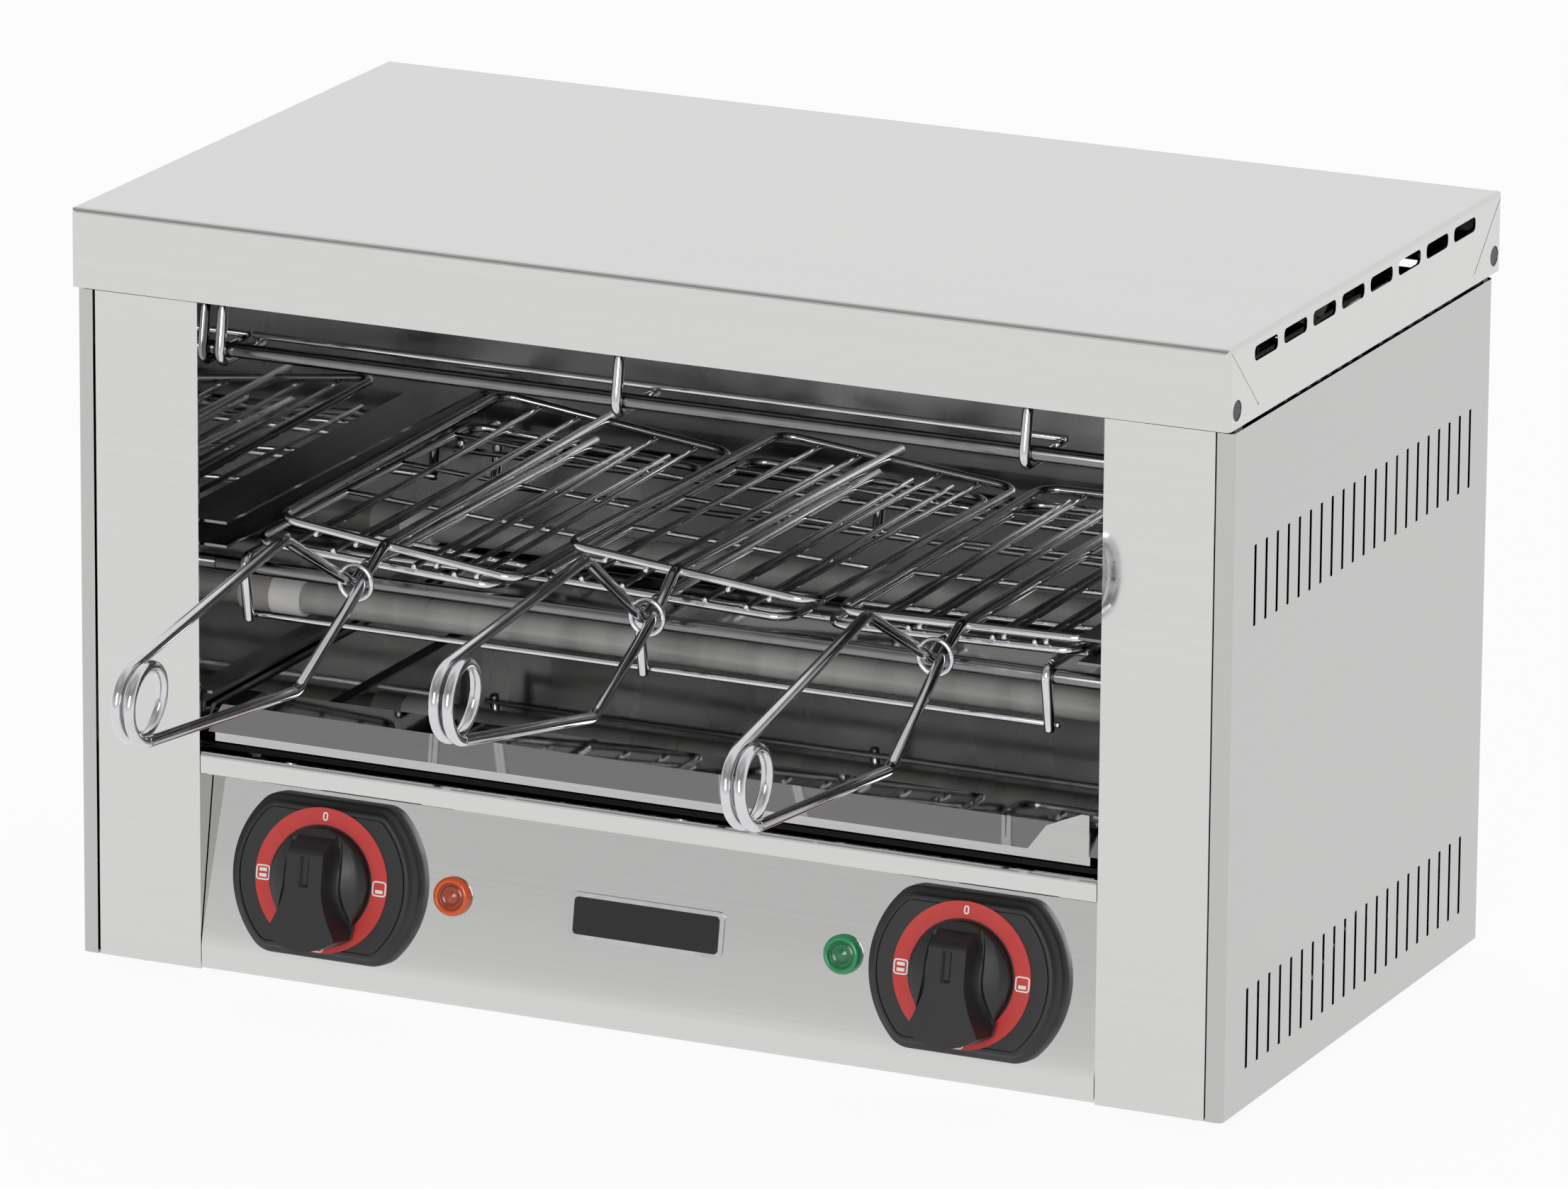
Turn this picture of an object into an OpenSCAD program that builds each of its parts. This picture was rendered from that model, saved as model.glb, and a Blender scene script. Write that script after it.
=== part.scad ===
/* [Body] */
// Width over the side panels
body_w = 450; // [444:1:540]
// Depth of the top cover from front to back
body_d = 252; // [248:1:330]
// Height of the body below the cover
body_h = 249.5; // [246:0.5:300]
// Thickness of the folded stainless sheet
sheet = 1; // [0.8:0.1:1.2]
// Outer radius of the folded edges
bend_r = 2; // [1.5:0.1:3]
// How far the cover stands proud of the body front
front_set = 4.4; // [3:0.1:8]
// How far the cover stands proud of the back panel
back_set = 6; // [5:0.5:10]
// Width of the side panel's return on the front
return_w = 6.3; // [5:0.1:9]
// Width of each front post
post_w = 41.7; // [36:0.1:44]
// Open seam between neighbouring panels
seam = 0.5; // [0.3:0.1:1]
// Height of the rubber feet
foot_h = 6; // [4:0.5:20]
// Diameter of the rubber feet
foot_d = 22; // [18:0.5:28]

/* [Cover] */
// Height of the cover's skirt
cover_h = 29.5; // [28:0.5:40]
// Gap between the body and the cover's lower edge
cover_gap = 1.5; // [1:0.1:3]
// Length of one vent in the cover's sides
vent_l = 20.7; // [14:0.1:22]
// Height of one vent
vent_h = 5.4; // [4:0.1:7]
// Distance from one cover vent to the next
vent_pitch = 26.3; // [25:0.1:27]
// Number of vents on each side of the cover
vent_n = 8; // [4:1:8]
// Diameter of the screw holes in the cover's corners
cover_hole_d = 7.5; // [6:0.1:9]

/* [Side vents] */
// Width of one slot in the side panel
slot_w = 2; // [1.5:0.1:4]
// Length of one slot
slot_l = 29.3; // [20:0.1:40]
// Distance from one slot to the next
slot_pitch = 10; // [8:0.1:10.5]
// Number of slots in a row
slot_n = 21; // [10:1:21]
// Height of the lower row's foot above the panel's edge
slot_low = 14.4; // [8:0.1:30]
// Distance from the upper row's top to the panel's upper edge
slot_high = 44.5; // [30:0.1:60]

/* [Control panel] */
// Height of the control panel
panel_h = 82.5; // [78:0.5:86]
// Height of the panel's lower lip
lip_low = 9; // [6:0.1:12]
// Height of the panel's upper lip
lip_high = 8.7; // [6:0.1:12]
// How far the sloping face runs back under the upper lip
recess = 10.9; // [6:0.1:14]
// Distance of each knob from the front post beside it
knob_in = 50.3; // [44:0.1:60]
// Height of the knobs and lamps up the sloping face
control_v = 31.3; // [30:0.1:34]
// Distance of each lamp from its knob
lamp_in = 49.2; // [46:0.1:60]
// Width of a knob's bezel
bezel_w = 75.5; // [70:0.5:78]
// Height of a knob's bezel up the sloping face
bezel_v = 58.5; // [54:0.5:59]
// How far the bezel stands out of the panel
bezel_h = 7.5; // [6:0.1:10]
// Outer radius of the red dial ring
dial_r = 26.5; // [25:0.1:27]
// Radius of the knob's round skirt
knob_r = 20; // [16:0.1:21]
// Height of the knob from its skirt's lower face to its grip's top
grip_h = 14.2; // [12:0.1:20]
// Diameter of the switch spindle
spindle_d = 6; // [5:0.1:7]
// Diameter of a lamp lens
lens_d = 14.4; // [13.5:0.1:18]
// Width of the blank name plate
plate_w = 60.5; // [40:0.5:64]
// Height of the blank name plate
plate_v = 17; // [12:0.5:30]

/* [Crumb tray] */
// Height of the tray's floor above the control panel
tray_z = 4.5; // [4:0.1:6]
// Depth of the tray's pan
tray_h = 11.5; // [10:0.1:13]
// How far the tray's front edge stands behind the body front
tray_set = 3.6; // [2:0.1:6]

/* [Heating] */
// Outer diameter of the quartz tubes
tube_d = 11.5; // [10:0.1:12]
// Wall of the quartz tubes
tube_wall = 1.25; // [1:0.05:1.5]
// Height of the lower tubes above the body's lower edge
tube_low = 125; // [122:0.5:128]
// Distance of the upper tubes below the chamber roof
tube_high = 14; // [12:0.5:16]
// Distance of the tubes from the chamber's front and back
tube_in = 63; // [60:0.5:75]
// Outer diameter of the ceramic end caps
cap_d = 14; // [13.8:0.1:15]
// How far the ceramic caps reach into the chamber
cap_in = 12.5; // [8:0.5:16]

/* [Guards] */
// Diameter of the guard rods
guard_rod_d = 5.5; // [5:0.1:6]
// Diameter of the bent guard wires
guard_wire_d = 4; // [3:0.1:4.4]
// Diameter of the thin guard wires
guard_thin_d = 2.5; // [2:0.1:3]
// Height of the lower guard rods above the body's lower edge
guard_low = 148.6; // [148:0.1:150]
// Distance of the upper guard rods below the chamber roof
guard_high = 39.5; // [38:0.5:46]
// Distance of the guard rods from the chamber's front and back
guard_in = 17.1; // [16:0.1:20]
// Distance of the outer bent wires from the chamber walls, before their shift to the left
guard_side = 20.5; // [20:0.5:30]
// Length of the guard wire's level leg
guard_level = 29; // [24:0.5:32]
// Length of the guard wire's upright leg
guard_upright = 20; // [14:0.5:21]

/* [Tongs] */
// Free gap between neighbouring tongs
grid_gap = 12.8; // [11:0.1:24]
// Length of the lower grid
lower_l = 176; // [150:1:180]
// Length of the upper grid
upper_l = 180; // [150:1:180]
// Diameter of the wire that makes the handle and the spines
tong_wire = 4.2; // [3.6:0.1:4.4]
// Diameter of the grid's outer frame wire
frame_wire = 3.2; // [2.8:0.1:3.4]
// Diameter of the grid's long bars
bar_wire = 2.2; // [1.8:0.1:2.4]
// Diameter of the grid's cross wires
cross_wire = 2; // [1.6:0.1:2.2]
// Distance of the spring coil in front of the ring
handle_l = 148; // [120:1:160]
// Radius of the spring coil at the middle of its wire
coil_r = 13.2; // [11:0.1:16]
// Free gap between the coil's turns
coil_gap = 0.9; // [0.7:0.1:1.4]
// Radius of the sliding ring at the middle of its wire
ring_r = 6.4; // [6.3:0.1:7]
// Diameter of the sliding ring's wire
ring_wire = 1.8; // [1.4:0.1:2]

/* [Hidden] */
$fn = 48;

// Colours
steel = [0.82, 0.82, 0.83];
dark_steel = [0.35, 0.35, 0.36];
chromed = [0.75, 0.76, 0.78];
black = [0.08, 0.08, 0.08];

// Clearances
slip = 0.2;
running = 0.05;
air = 0.3;
tiny = 0.01;

// Main planes of the body, with the cover's front face at Y 0 and the panels' lower edge at Z 0
half_w = body_w / 2;
front_y = front_set;
skin_y = front_y + sheet;
back_y = body_d - back_set;
rear_y = back_y - sheet;
cover_z = body_h + cover_gap;
cover_top = cover_z + cover_h;
floor_z = 2 * sheet;
post_out = half_w - return_w - seam;
aperture_x = post_out - post_w;
wall_set = 1.5;
wall_x = aperture_x + wall_set;
back_gap = 6;
chamber_y = rear_y - back_gap - sheet;
roof_drop = 12.5;
roof_z = cover_top - roof_drop;

// Side panel, post and bracket sizes
rear_return = 13;
side_flange = 31;
slot_front = 21.1;
post_return = 12;
post_inner_return = 16.6;
bracket_w = 12;
bracket_up = 15;
bracket_down = 20;
bracket_step = 2;
bracket_set = sheet;
screw_y = 6.6;
screw_z = 6.5;
screw_d = 3.8;
screw_reach = 3;
vent_front = 21.5;
vent_drop = 3.8;
vent_r = 2;
groove_w = 0.5;
groove_deep = 0.3;
mitre_run = 25.9;
mitre_over = 0.4;
mitre_foot = 4;
roof_lip = 10;

// Back panel and feet
back_screw_in = 7;
back_screw_z = [30, body_h / 2, body_h - 30];
back_screw_d = 3.4;
back_head_d = 7;
back_head_h = 2;
gland_in = 85;
gland_x = gland_in - half_w;
gland_z = 35;
gland_d = 16;
gland_flange_d = 22;
gland_bore = 9;
gland_proud = 4;
gland_nut_d = 26;
gland_nut_h = 4;
foot_in = 17;
foot_front = 30;
foot_taper = 2;
foot_screw_d = 4;
foot_head_d = 8;
foot_head_h = 2.4;
foot_nut_d = 8;
foot_nut_h = 3;
foot_places = [for (x = [-1, 1], y = [foot_front, body_d - foot_front]) [x * (half_w - foot_in), y]];

// Control panel section
face_top = panel_h - lip_high;
tilt = atan2(recess, face_top - lip_low);
panel_x = aperture_x - air;
panel_flange = 17.6;
panel_foot = 15.6;
inner_low = [front_y + sheet, lip_low + sheet * (1 - cos(tilt)) / sin(tilt) * cos(tilt) - sheet * sin(tilt)];
inner_run = (face_top + sheet - lip_low + sheet * sin(tilt)) / cos(tilt);
inner_high = [front_y + sheet * cos(tilt) + inner_run * sin(tilt), face_top + sheet];

// Controls
knob_x = aperture_x - knob_in;
lamp_x = knob_x - lamp_in;
bezel_size = [bezel_w, bezel_v];
plate_size = [plate_w, plate_v];
bezel_power = 3.4;
bezel_step = 2.5;
bush_d = 10;
bush_h = 4;
bezel_bore = 12;
dial_h = 0.5;
dial_in = 0.3;
switch_size = [34, 34, 26];
knob_lift = bezel_h + dial_h + air;
skirt_h = 3.7;
spindle_in = 11;
spindle_tip = 6.5;
spindle_end = 0.5;
nose_low = 17;
nose_top = 11;
nose_r = 2.5;
grip_w = 7.2;
flare_r = 24.3;
flare_w = 14.3;
flare_v = 19.5;
flare_foot = 20.5;
pointer_w = 3;
pointer_deep = 0.8;
pointer_l = 12;
lens_h = 2;
lens_dome = 2.5;
lens_step = 1.5;
lens_crown = 7;
lens_stem = 11.8;
lens_stem_h = 6;
lamp_d = 16;
lamp_h = 22;
plate_h = 0.8;
plate_r = 2.5;
field_h = 0.3;
field_border = 1.7;
field_r = 1.5;

// Crumb tray and runners
tray_y = front_y + tray_set;
pan_z = panel_h + tray_z;
rim_z = pan_z + tray_h;
strip_drop = 1;
strip_h = 3.2;
apron_lean = 5;
rim_depth = 20;
rim_w = 3.6;
tray_rim_x = wall_x - 2.4;
tray_x = tray_rim_x - rim_w;
tray_back = chamber_y - 6;
pan_y = tray_y + apron_lean + rim_depth;
ear_in = 0.5;
ear_reach = [3, 16.3, 23.4];
ear_up = [9.5, 15.1];
runner_w = 5;
runner_lip = 3.8;
runner_h = 8.3;
runner_z = rim_z - sheet - air - sheet;
runner_front = tray_y + apron_lean + sheet + air + slip;
runner_back = tray_back + 4;

// Tong rails on the chamber walls
rail_z = guard_low + 10.4;
rail_h = 9.8;
rail_w = 11.5;
rail_front = 2.8;
rail_rear = 2;

// Tubes and caps
tube_y = [skin_y + tube_in, chamber_y - tube_in];
tube_z = [tube_low, roof_z - tube_high];
tube_places = [for (z = tube_z, y = tube_y) [y, z]];
cap_out = 8;
cap_end = 3;
cap_collar_d = 20;
cap_collar_h = 4;
cap_x = wall_x + sheet + cap_out;
tube_x = cap_x - cap_end - air;
coil_rod_d = tube_d - 2 * tube_wall - 1;
terminal_d = 4;
terminal_l = 11;

// Guards
guard_pitch = wall_x - guard_side;
guard_y = [skin_y + guard_in, chamber_y - guard_in];
guard_z = [guard_low, roof_z - guard_high];
guard_x = wall_x + sheet + 5;
guard_past = 3;
guard_tip = 2;
guard_shift = [-7.5, -17];
guard_lean = 10;
weld = 0.5;
wrap_r = (guard_rod_d + guard_wire_d) / 2 - weld;
hook_bends = 2;

// Tongs, each placed by its ring; rest heights are counted from the top of the lower guard
tong_gap = 3.4;
grid_w = (wall_x - rail_w - tong_gap - grid_gap) / 1.5 - frame_wire;
tong_step = grid_w + frame_wire + grid_gap;
tong_x = [1 - tong_step, 1, tong_step];
tong_set = [-2.4, 2.1, 1.3];
tong_y = [for (d = tong_set) front_y + d];
tong_rest = [-0.85, -0.35, -0.25];
tong_z = [for (h = tong_rest) guard_low + guard_rod_d / 2 + guard_wire_d + h];
tong_roll = [3.2, 2, -1.2];
upper_rise = [10, 13.5, 7.6];
upper_roll = [3.6, 3.5, 0.3];
upper_pitch = [0.85, -1, 0];
upper_shift = [4.7, 4.7, 0];
handle_lift = [-2.7, 3.2, -2.8];
handle_yaw = [-2.9, -0.5, -0.9];
wire_gap = 0.9;
wire_x = (tong_wire + wire_gap) / 2;
lower_front = 20;
lower_z = 1.5;
lower_spine_z = 2.5;
lower_cross = [0.16, 0.41, 0.66, 0.91];
lower_past = 6.5;
upper_front = 18.5;
upper_drop = 0.5;
upper_past = 13;
bar_past = 2;
bar_places = [for (i = [-2, -1, 1, 2]) i * grid_w / 6];
bar_sink = 0.5;
cross_sink = 0.3;
bar_off = (frame_wire + bar_wire) / 2 - bar_sink;
cross_off = bar_off - (bar_wire + cross_wire) / 2 + cross_sink;
corner_r = 8;
peak = [-wire_x, -48, 30];
bend = [wire_x, -45, -27];
dip = [-wire_x, 3.5, -2.2];
lower_rise = [-wire_x, 12, lower_spine_z];
knee_y = 16.5;
ball = 1.03;
jaw_face_gap = 0.3;

// Terminal block and wiring loom
block_size = [60, 22, 20];
block_ways = 5;
block_pitch = 11;
block_screw_d = 4;
block_screw_y = 5;
block_screw_deep = 3;
block_y = rear_y - 33;
loom_d = 6;
branch_d = 5;
lead_d = 3;
bus_d = 4;
block_lead = 25;
loom_turn_y = 60;
loom_slack = 8;
loom_y = 100;
loom_z = 40;
loom_hole = 16;
loom_run_z = floor_z + 10;
loom_cross_y = 150;
loom_side_x = cap_x + terminal_l + slip + bus_d / 2;
loom_reach = 25;
lead_end = 1;
bus_past = 4;
branch_past = 3;

// Vectors and outlines
function unit(v) = v / norm(v);

function corner(a, b, c, r, n = 5) =
    let (u = unit(a - b), v = unit(c - b), half = acos(u * v) / 2)
    let (o = b + unit(u + v) * (r / sin(half)), s = b + u * (r / tan(half)), e = b + v * (r / tan(half)))
    let (a0 = atan2(s.y - o.y, s.x - o.x), d0 = atan2(e.y - o.y, e.x - o.x) - a0)
    let (da = d0 > 180 ? d0 - 360 : d0 < -180 ? d0 + 360 : d0)
    [for (k = [0:n]) o + r * [cos(a0 + da * k / n), sin(a0 + da * k / n)]];

function rounded(pts, rad) =
    let (n = len(pts))
    [for (i = [0:n - 1]) each rad[i] <= 0 ? [pts[i]] :
        corner(pts[(i + n - 1) % n], pts[i], pts[(i + 1) % n], rad[i])];

function rectangle(a, b) = [a, [b.x, a.y], b, [a.x, b.y]];

function same(r) = [r, r, r, r];

function strip(a, b, w) =
    let (s = unit([a.y - b.y, b.x - a.x]) * w / 2)
    [a - s, b - s, b + s, a + s];

function oval(size, power) = [for (a = [0:6:354])
    [sign(cos(a)) * size.x / 2 * pow(abs(cos(a)), 2 / power),
     sign(sin(a)) * size.y / 2 * pow(abs(sin(a)), 2 / power)]];

// Handle points turn about the ring, then the whole tong rolls about its length
function handle(p, k) =
    let (c = cos(handle_lift[k]), s = sin(handle_lift[k]), q = [p.x, p.y * c + p.z * s, p.z * c - p.y * s])
    let (cy = cos(handle_yaw[k]), sy = sin(handle_yaw[k]))
    [q.x * cy - q.y * sy, q.x * sy + q.y * cy, q.z];

function placed(p, k) =
    let (c = cos(tong_roll[k]), s = sin(tong_roll[k]))
    [tong_x[k], tong_y[k], tong_z[k]] + [p.x * c + p.z * s, p.y, p.z * c - p.x * s];

// Spring coil, counted from the upper jaw's end to the lower jaw's end
coil_mid = [0, -handle_l, 0];
coil_from = atan2(bend.z, bend.y + handle_l) - acos(coil_r / norm([bend.y + handle_l, bend.z]));
coil_to = atan2(peak.z, peak.y + handle_l) + acos(coil_r / norm([peak.y + handle_l, peak.z]));
coil_sweep = coil_from - coil_to + 720;
coil_x = (tong_wire + coil_gap) * coil_sweep / 720;
coil_steps = ceil(coil_sweep / 45);
coil_sides = 6;
coil_fill = 1.06;
coil_tube_r = tong_wire / 2 * coil_fill;

function coil_at(t) =
    let (a = coil_from - coil_sweep * t)
    [coil_x * (1 - 2 * t), coil_r * cos(a) - handle_l, coil_r * sin(a)];

coil_turns = [for (i = [0:coil_steps]) coil_at(i / coil_steps)];
coil_start = coil_at(0) + unit(bend - coil_at(0)) * tong_wire;
coil_end = coil_at(1) + unit(peak - coil_at(1)) * tong_wire;
coil_path = concat([coil_start], coil_turns, [coil_end]);

function along(path, i) = unit(path[min(i + 1, len(path) - 1)] - path[max(i - 1, 0)]);

function loop(p, t, r, n) =
    let (u = unit(cross(t, [1, 0, 0])), v = cross(t, u))
    [for (k = [0:n - 1]) p + r * (cos(360 * k / n) * u + sin(360 * k / n) * v)];

coil_points = [for (i = [0:len(coil_path) - 1])
    each loop(coil_path[i], along(coil_path, i), coil_tube_r, coil_sides)];

half_turn = ceil(coil_steps * 180 / coil_sweep);
coil_clear = min([for (i = [0:coil_steps - half_turn], j = [i + half_turn:coil_steps])
    norm(coil_turns[i] - coil_turns[j])]) - 2 * coil_tube_r;

// Frame of the part: origin under the middle of its box, on the plane that it stands on
front_reach = min([for (k = [0:2], p = coil_points) placed(handle(p, k), k).y]);
y_shift = -(front_reach + body_d) / 2;

echo(coil_least_gap_mm = coil_clear);
for (k = [0:2])
    echo(tong = k + 1, hinge_mm = placed(handle(coil_mid, k), k) + [0, y_shift, foot_h]);
knob_y = front_y + control_v * sin(tilt);
knob_z = lip_low + control_v * cos(tilt);
for (x = [-knob_x, knob_x]) echo(knob_mm = [x, knob_y + y_shift, knob_z + foot_h]);

// Placing
module in_frame() translate([0, y_shift, foot_h]) children();
module left() mirror([1, 0, 0]) children();
module both() { children(); left() children(); }
module on_panel(x, v = control_v)
    translate([0, front_y, lip_low]) rotate([90 - tilt, 0, 0]) translate([x, v, 0]) children();
module in_tong(k)
    translate([tong_x[k], tong_y[k], tong_z[k]]) rotate([0, tong_roll[k], 0]) children();

// Basic solids
module block(a, b) translate(a) cube(b - a);
module sheet_x(pts, x0, x1) translate([x0, 0, 0]) rotate([90, 0, 90]) linear_extrude(x1 - x0) polygon(pts);
module sheet_y(pts, y0, y1) translate([0, y1, 0]) rotate([90, 0, 0]) linear_extrude(y1 - y0) polygon(pts);
module sheet_z(pts, z0, z1) translate([0, 0, z0]) linear_extrude(z1 - z0) polygon(pts);
module bar_x(y, z, d, x0, x1) translate([x0, y, z]) rotate([0, 90, 0]) cylinder(d = d, h = x1 - x0);
module bar_y(x, z, d, y0, y1) translate([x, y0, z]) rotate([-90, 0, 0]) cylinder(d = d, h = y1 - y0);
module rod(a, b, d)
    translate(a) rotate([0, acos((b - a).z / norm(b - a)), atan2((b - a).y, (b - a).x)])
        cylinder(d = d, h = norm(b - a));
module wire(pts, d) {
    for (i = [0:len(pts) - 2]) rod(pts[i], pts[i + 1], d);
    for (i = [1:1:len(pts) - 2]) translate(pts[i]) sphere(d = d * ball);
}

// Folded tray that closes the body from above
module top_cover() color(steel) difference() {
    fold_top = [0, 0, bend_r, bend_r];
    intersection() {
        sheet_x(rounded(rectangle([0, cover_z], [body_d, cover_top]), fold_top), -half_w, half_w);
        sheet_y(rounded(rectangle([-half_w, cover_z], [half_w, cover_top]), fold_top), 0, body_d);
        sheet_z(rounded(rectangle([-half_w, 0], [half_w, body_d]), same(bend_r)), cover_z, cover_top);
    }
    block([sheet - half_w, sheet, cover_z - 1], [half_w - sheet, body_d - sheet, cover_top - sheet]);
    for (i = [0:vent_n - 1]) {
        y = vent_front + i * vent_pitch;
        low = [y, cover_top - vent_drop - vent_h];
        high = [y + vent_l, cover_top - vent_drop];
        sheet_x(rounded(rectangle(low, high), same(vent_r)), -half_w - 1, half_w + 1);
    }
    for (y = [screw_y, body_d - screw_y])
        bar_x(y, cover_z + screw_z, cover_hole_d, -half_w - 1, half_w + 1);
    for (m = [0, 1], f = [0, 1]) mirror([m, 0, 0])
        translate([0, f * body_d, 0]) mirror([0, f, 0])
            sheet_x(strip([-1, cover_top + mitre_over], [mitre_run, cover_z + mitre_foot], groove_w),
                half_w - groove_deep, half_w + 1);
}

// Side panel with its front return, rear return, foot flange and two rows of slots
module side_panel() difference() {
    union() {
        sheet_z(rounded([
            [half_w - return_w, front_y], [half_w, front_y], [half_w, rear_y], [half_w - rear_return, rear_y],
            [half_w - rear_return, rear_y - sheet], [half_w - sheet, rear_y - sheet],
            [half_w - sheet, skin_y], [half_w - return_w, skin_y]],
            [0, bend_r, bend_r, 0, 0, bend_r - sheet, bend_r - sheet, 0]), 0, body_h);
        block([half_w - side_flange, skin_y, 0], [half_w - sheet / 2, rear_y - sheet, sheet]);
    }
    for (z = [slot_low, body_h - slot_high - slot_l], i = [0:slot_n - 1]) {
        y = front_y + slot_front + i * slot_pitch;
        block([half_w - 2 * sheet, y - slot_w / 2, z], [half_w + 1, y + slot_w / 2, z + slot_l]);
    }
    for (z = back_screw_z)
        bar_y(half_w - back_screw_in, z, back_screw_d + 2 * slip, rear_y - 2 * sheet, rear_y + 1);
    for (p = foot_places) translate([p.x, p.y, -1]) cylinder(d = foot_screw_d + 2 * slip, h = sheet + 2);
}
module right_side_panel() color(steel) side_panel();
module left_side_panel() color(steel) left() side_panel();

// Front post: face, outer return against the side panel, low inner return beside the control panel
module front_post() {
    difference() {
        sheet_z(rounded([
            [aperture_x, front_y], [post_out, front_y], [post_out, front_y + post_return],
            [post_out - sheet, front_y + post_return], [post_out - sheet, skin_y], [aperture_x, skin_y]],
            [0, sheet, 0, 0, 0, 0]), 0, body_h);
        block([aperture_x, skin_y, -1], [post_out + 1, front_y + post_return + 1, floor_z + slip]);
    }
    block([aperture_x, front_y + sheet / 2, floor_z + slip],
        [aperture_x + sheet, front_y + post_inner_return, panel_h - slip]);
}
module right_front_post() color(steel) front_post();
module left_front_post() color(steel) left() front_post();

// Removable back panel
module back_panel() color(steel) difference() {
    block([bend_r - half_w, rear_y, sheet], [half_w - bend_r, back_y, body_h]);
    for (x = [-1, 1], z = back_screw_z)
        bar_y(x * (half_w - back_screw_in), z, back_screw_d + 2 * slip, rear_y - 1, back_y + 1);
    bar_y(gland_x, gland_z, gland_d + slip, rear_y - 1, back_y + 1);
}

// Floor of the body, resting on the side panels' foot flanges
module base_plate() color(steel) difference() {
    block([sheet - half_w, skin_y + bend_r, sheet], [half_w - sheet, rear_y - sheet - bend_r, floor_z]);
    for (p = foot_places) translate([p.x, p.y, 0]) cylinder(d = foot_screw_d + 2 * slip, h = 3 * sheet);
}

// Control panel: lower lip, sloping face and overhanging upper lip from one folded sheet
module control_panel() color(steel) difference() {
    sheet_x(rounded([
        [front_y + panel_foot, 0], [front_y, 0], [front_y, lip_low], [front_y + recess, face_top],
        [front_y, face_top], [front_y, panel_h], [front_y + panel_flange, panel_h],
        [front_y + panel_flange, panel_h - sheet],
        [skin_y, panel_h - sheet], [skin_y, face_top + sheet], inner_high, inner_low,
        [skin_y, sheet], [front_y + panel_foot, sheet]],
        [0, bend_r, 0, 0, sheet, bend_r, 0, 0, bend_r - sheet, 0, 0, 0, bend_r - sheet, 0]),
        -panel_x, panel_x);
    for (x = [-knob_x, knob_x]) on_panel(x) translate([0, 0, -3]) cylinder(d = bush_d + 2 * slip, h = 6);
    for (x = [-lamp_x, lamp_x]) on_panel(x) translate([0, 0, -3]) cylinder(d = lens_stem + 2 * slip, h = 6);
}

// Reflector walls of the toasting chamber
module chamber_wall() difference() {
    sheet_z([
        [wall_x, skin_y], [wall_x + post_return, skin_y], [wall_x + post_return, skin_y + sheet],
        [wall_x + sheet, skin_y + sheet], [wall_x + sheet, chamber_y + sheet], [wall_x, chamber_y + sheet]],
        floor_z, roof_z);
    for (p = tube_places) bar_x(p.x, p.y, cap_d + 2 * slip, wall_x - 1, wall_x + 2 * sheet);
    for (y = guard_y, z = guard_z) bar_x(y, z, guard_rod_d + 2 * slip, wall_x - 1, wall_x + 2 * sheet);
    bar_x(loom_y, loom_z, loom_hole, wall_x - 1, wall_x + 2 * sheet);
}
module right_chamber_wall() color(dark_steel) chamber_wall();
module left_chamber_wall() color(dark_steel) left() chamber_wall();

module chamber_back() color(dark_steel)
    block([-wall_x, chamber_y, panel_h], [wall_x, chamber_y + sheet, roof_z]);

module chamber_roof() color(dark_steel) {
    block([-wall_x - sheet, skin_y, roof_z], [wall_x + sheet, chamber_y + sheet, roof_z + sheet]);
    block([-wall_x, skin_y, roof_z - roof_lip], [wall_x, skin_y + sheet, roof_z + sheet / 2]);
}

// Plate between the hot chamber and the control space
module heat_shield() color(dark_steel)
    block([-wall_x, front_y + panel_flange / 2, panel_h], [wall_x, chamber_y, panel_h + sheet]);

// Crumb tray: front strip, leaning apron, rim and pan, with a turned-up ear at the right
module crumb_tray() color(steel) {
    difference() {
        block([-tray_x, pan_y - sheet, pan_z], [tray_x, tray_back, rim_z]);
        block([sheet - tray_x, pan_y, pan_z + sheet], [tray_x - sheet, tray_back - sheet, rim_z + 1]);
    }
    both() block([tray_x - sheet / 2, pan_y - sheet, rim_z - sheet], [tray_rim_x, tray_back, rim_z]);
    strip_z = pan_z - strip_drop + strip_h;
    sheet_x([
        [tray_y, strip_z], [tray_y + apron_lean, rim_z], [pan_y - sheet / 2, rim_z],
        [pan_y - sheet / 2, rim_z - sheet], [tray_y + apron_lean + sheet, rim_z - sheet],
        [tray_y + sheet, strip_z]], -tray_rim_x, tray_rim_x);
    block([-tray_x, tray_y, pan_z - strip_drop], [tray_x, tray_y + sheet, strip_z + tiny]);
    ear_x = tray_x - ear_in;
    sheet_y([
        [ear_x - ear_reach[2], pan_z - strip_drop], [ear_x - ear_reach[2], strip_z],
        [ear_x - ear_reach[1], strip_z + ear_up[0]], [ear_x - ear_reach[0], strip_z + ear_up[1]],
        [ear_x, strip_z + ear_up[1]], [ear_x, pan_z - strip_drop]], tray_y, tray_y + sheet);
}

// C runners that carry the tray's rims
module tray_runners() color(dark_steel) both() {
    runner_top = runner_z + runner_h;
    block([wall_x - sheet, tray_y, runner_z], [wall_x, runner_back, runner_top]);
    block([wall_x - runner_w, tray_y, runner_top - sheet], [wall_x - sheet / 2, runner_back, runner_top]);
    block([wall_x - runner_lip, runner_front, runner_z], [wall_x - sheet / 2, runner_back, runner_z + sheet]);
}

// C rails on the chamber walls, level with the tongs
module tong_rails() color(chromed) both() difference() {
    rail_top = rail_z + rail_h;
    block([wall_x - rail_w, front_y + rail_front, rail_z], [wall_x, chamber_y - rail_rear, rail_top]);
    block([wall_x - rail_w - 1, front_y, rail_z + sheet], [wall_x - sheet, chamber_y, rail_top - sheet]);
}

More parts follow.
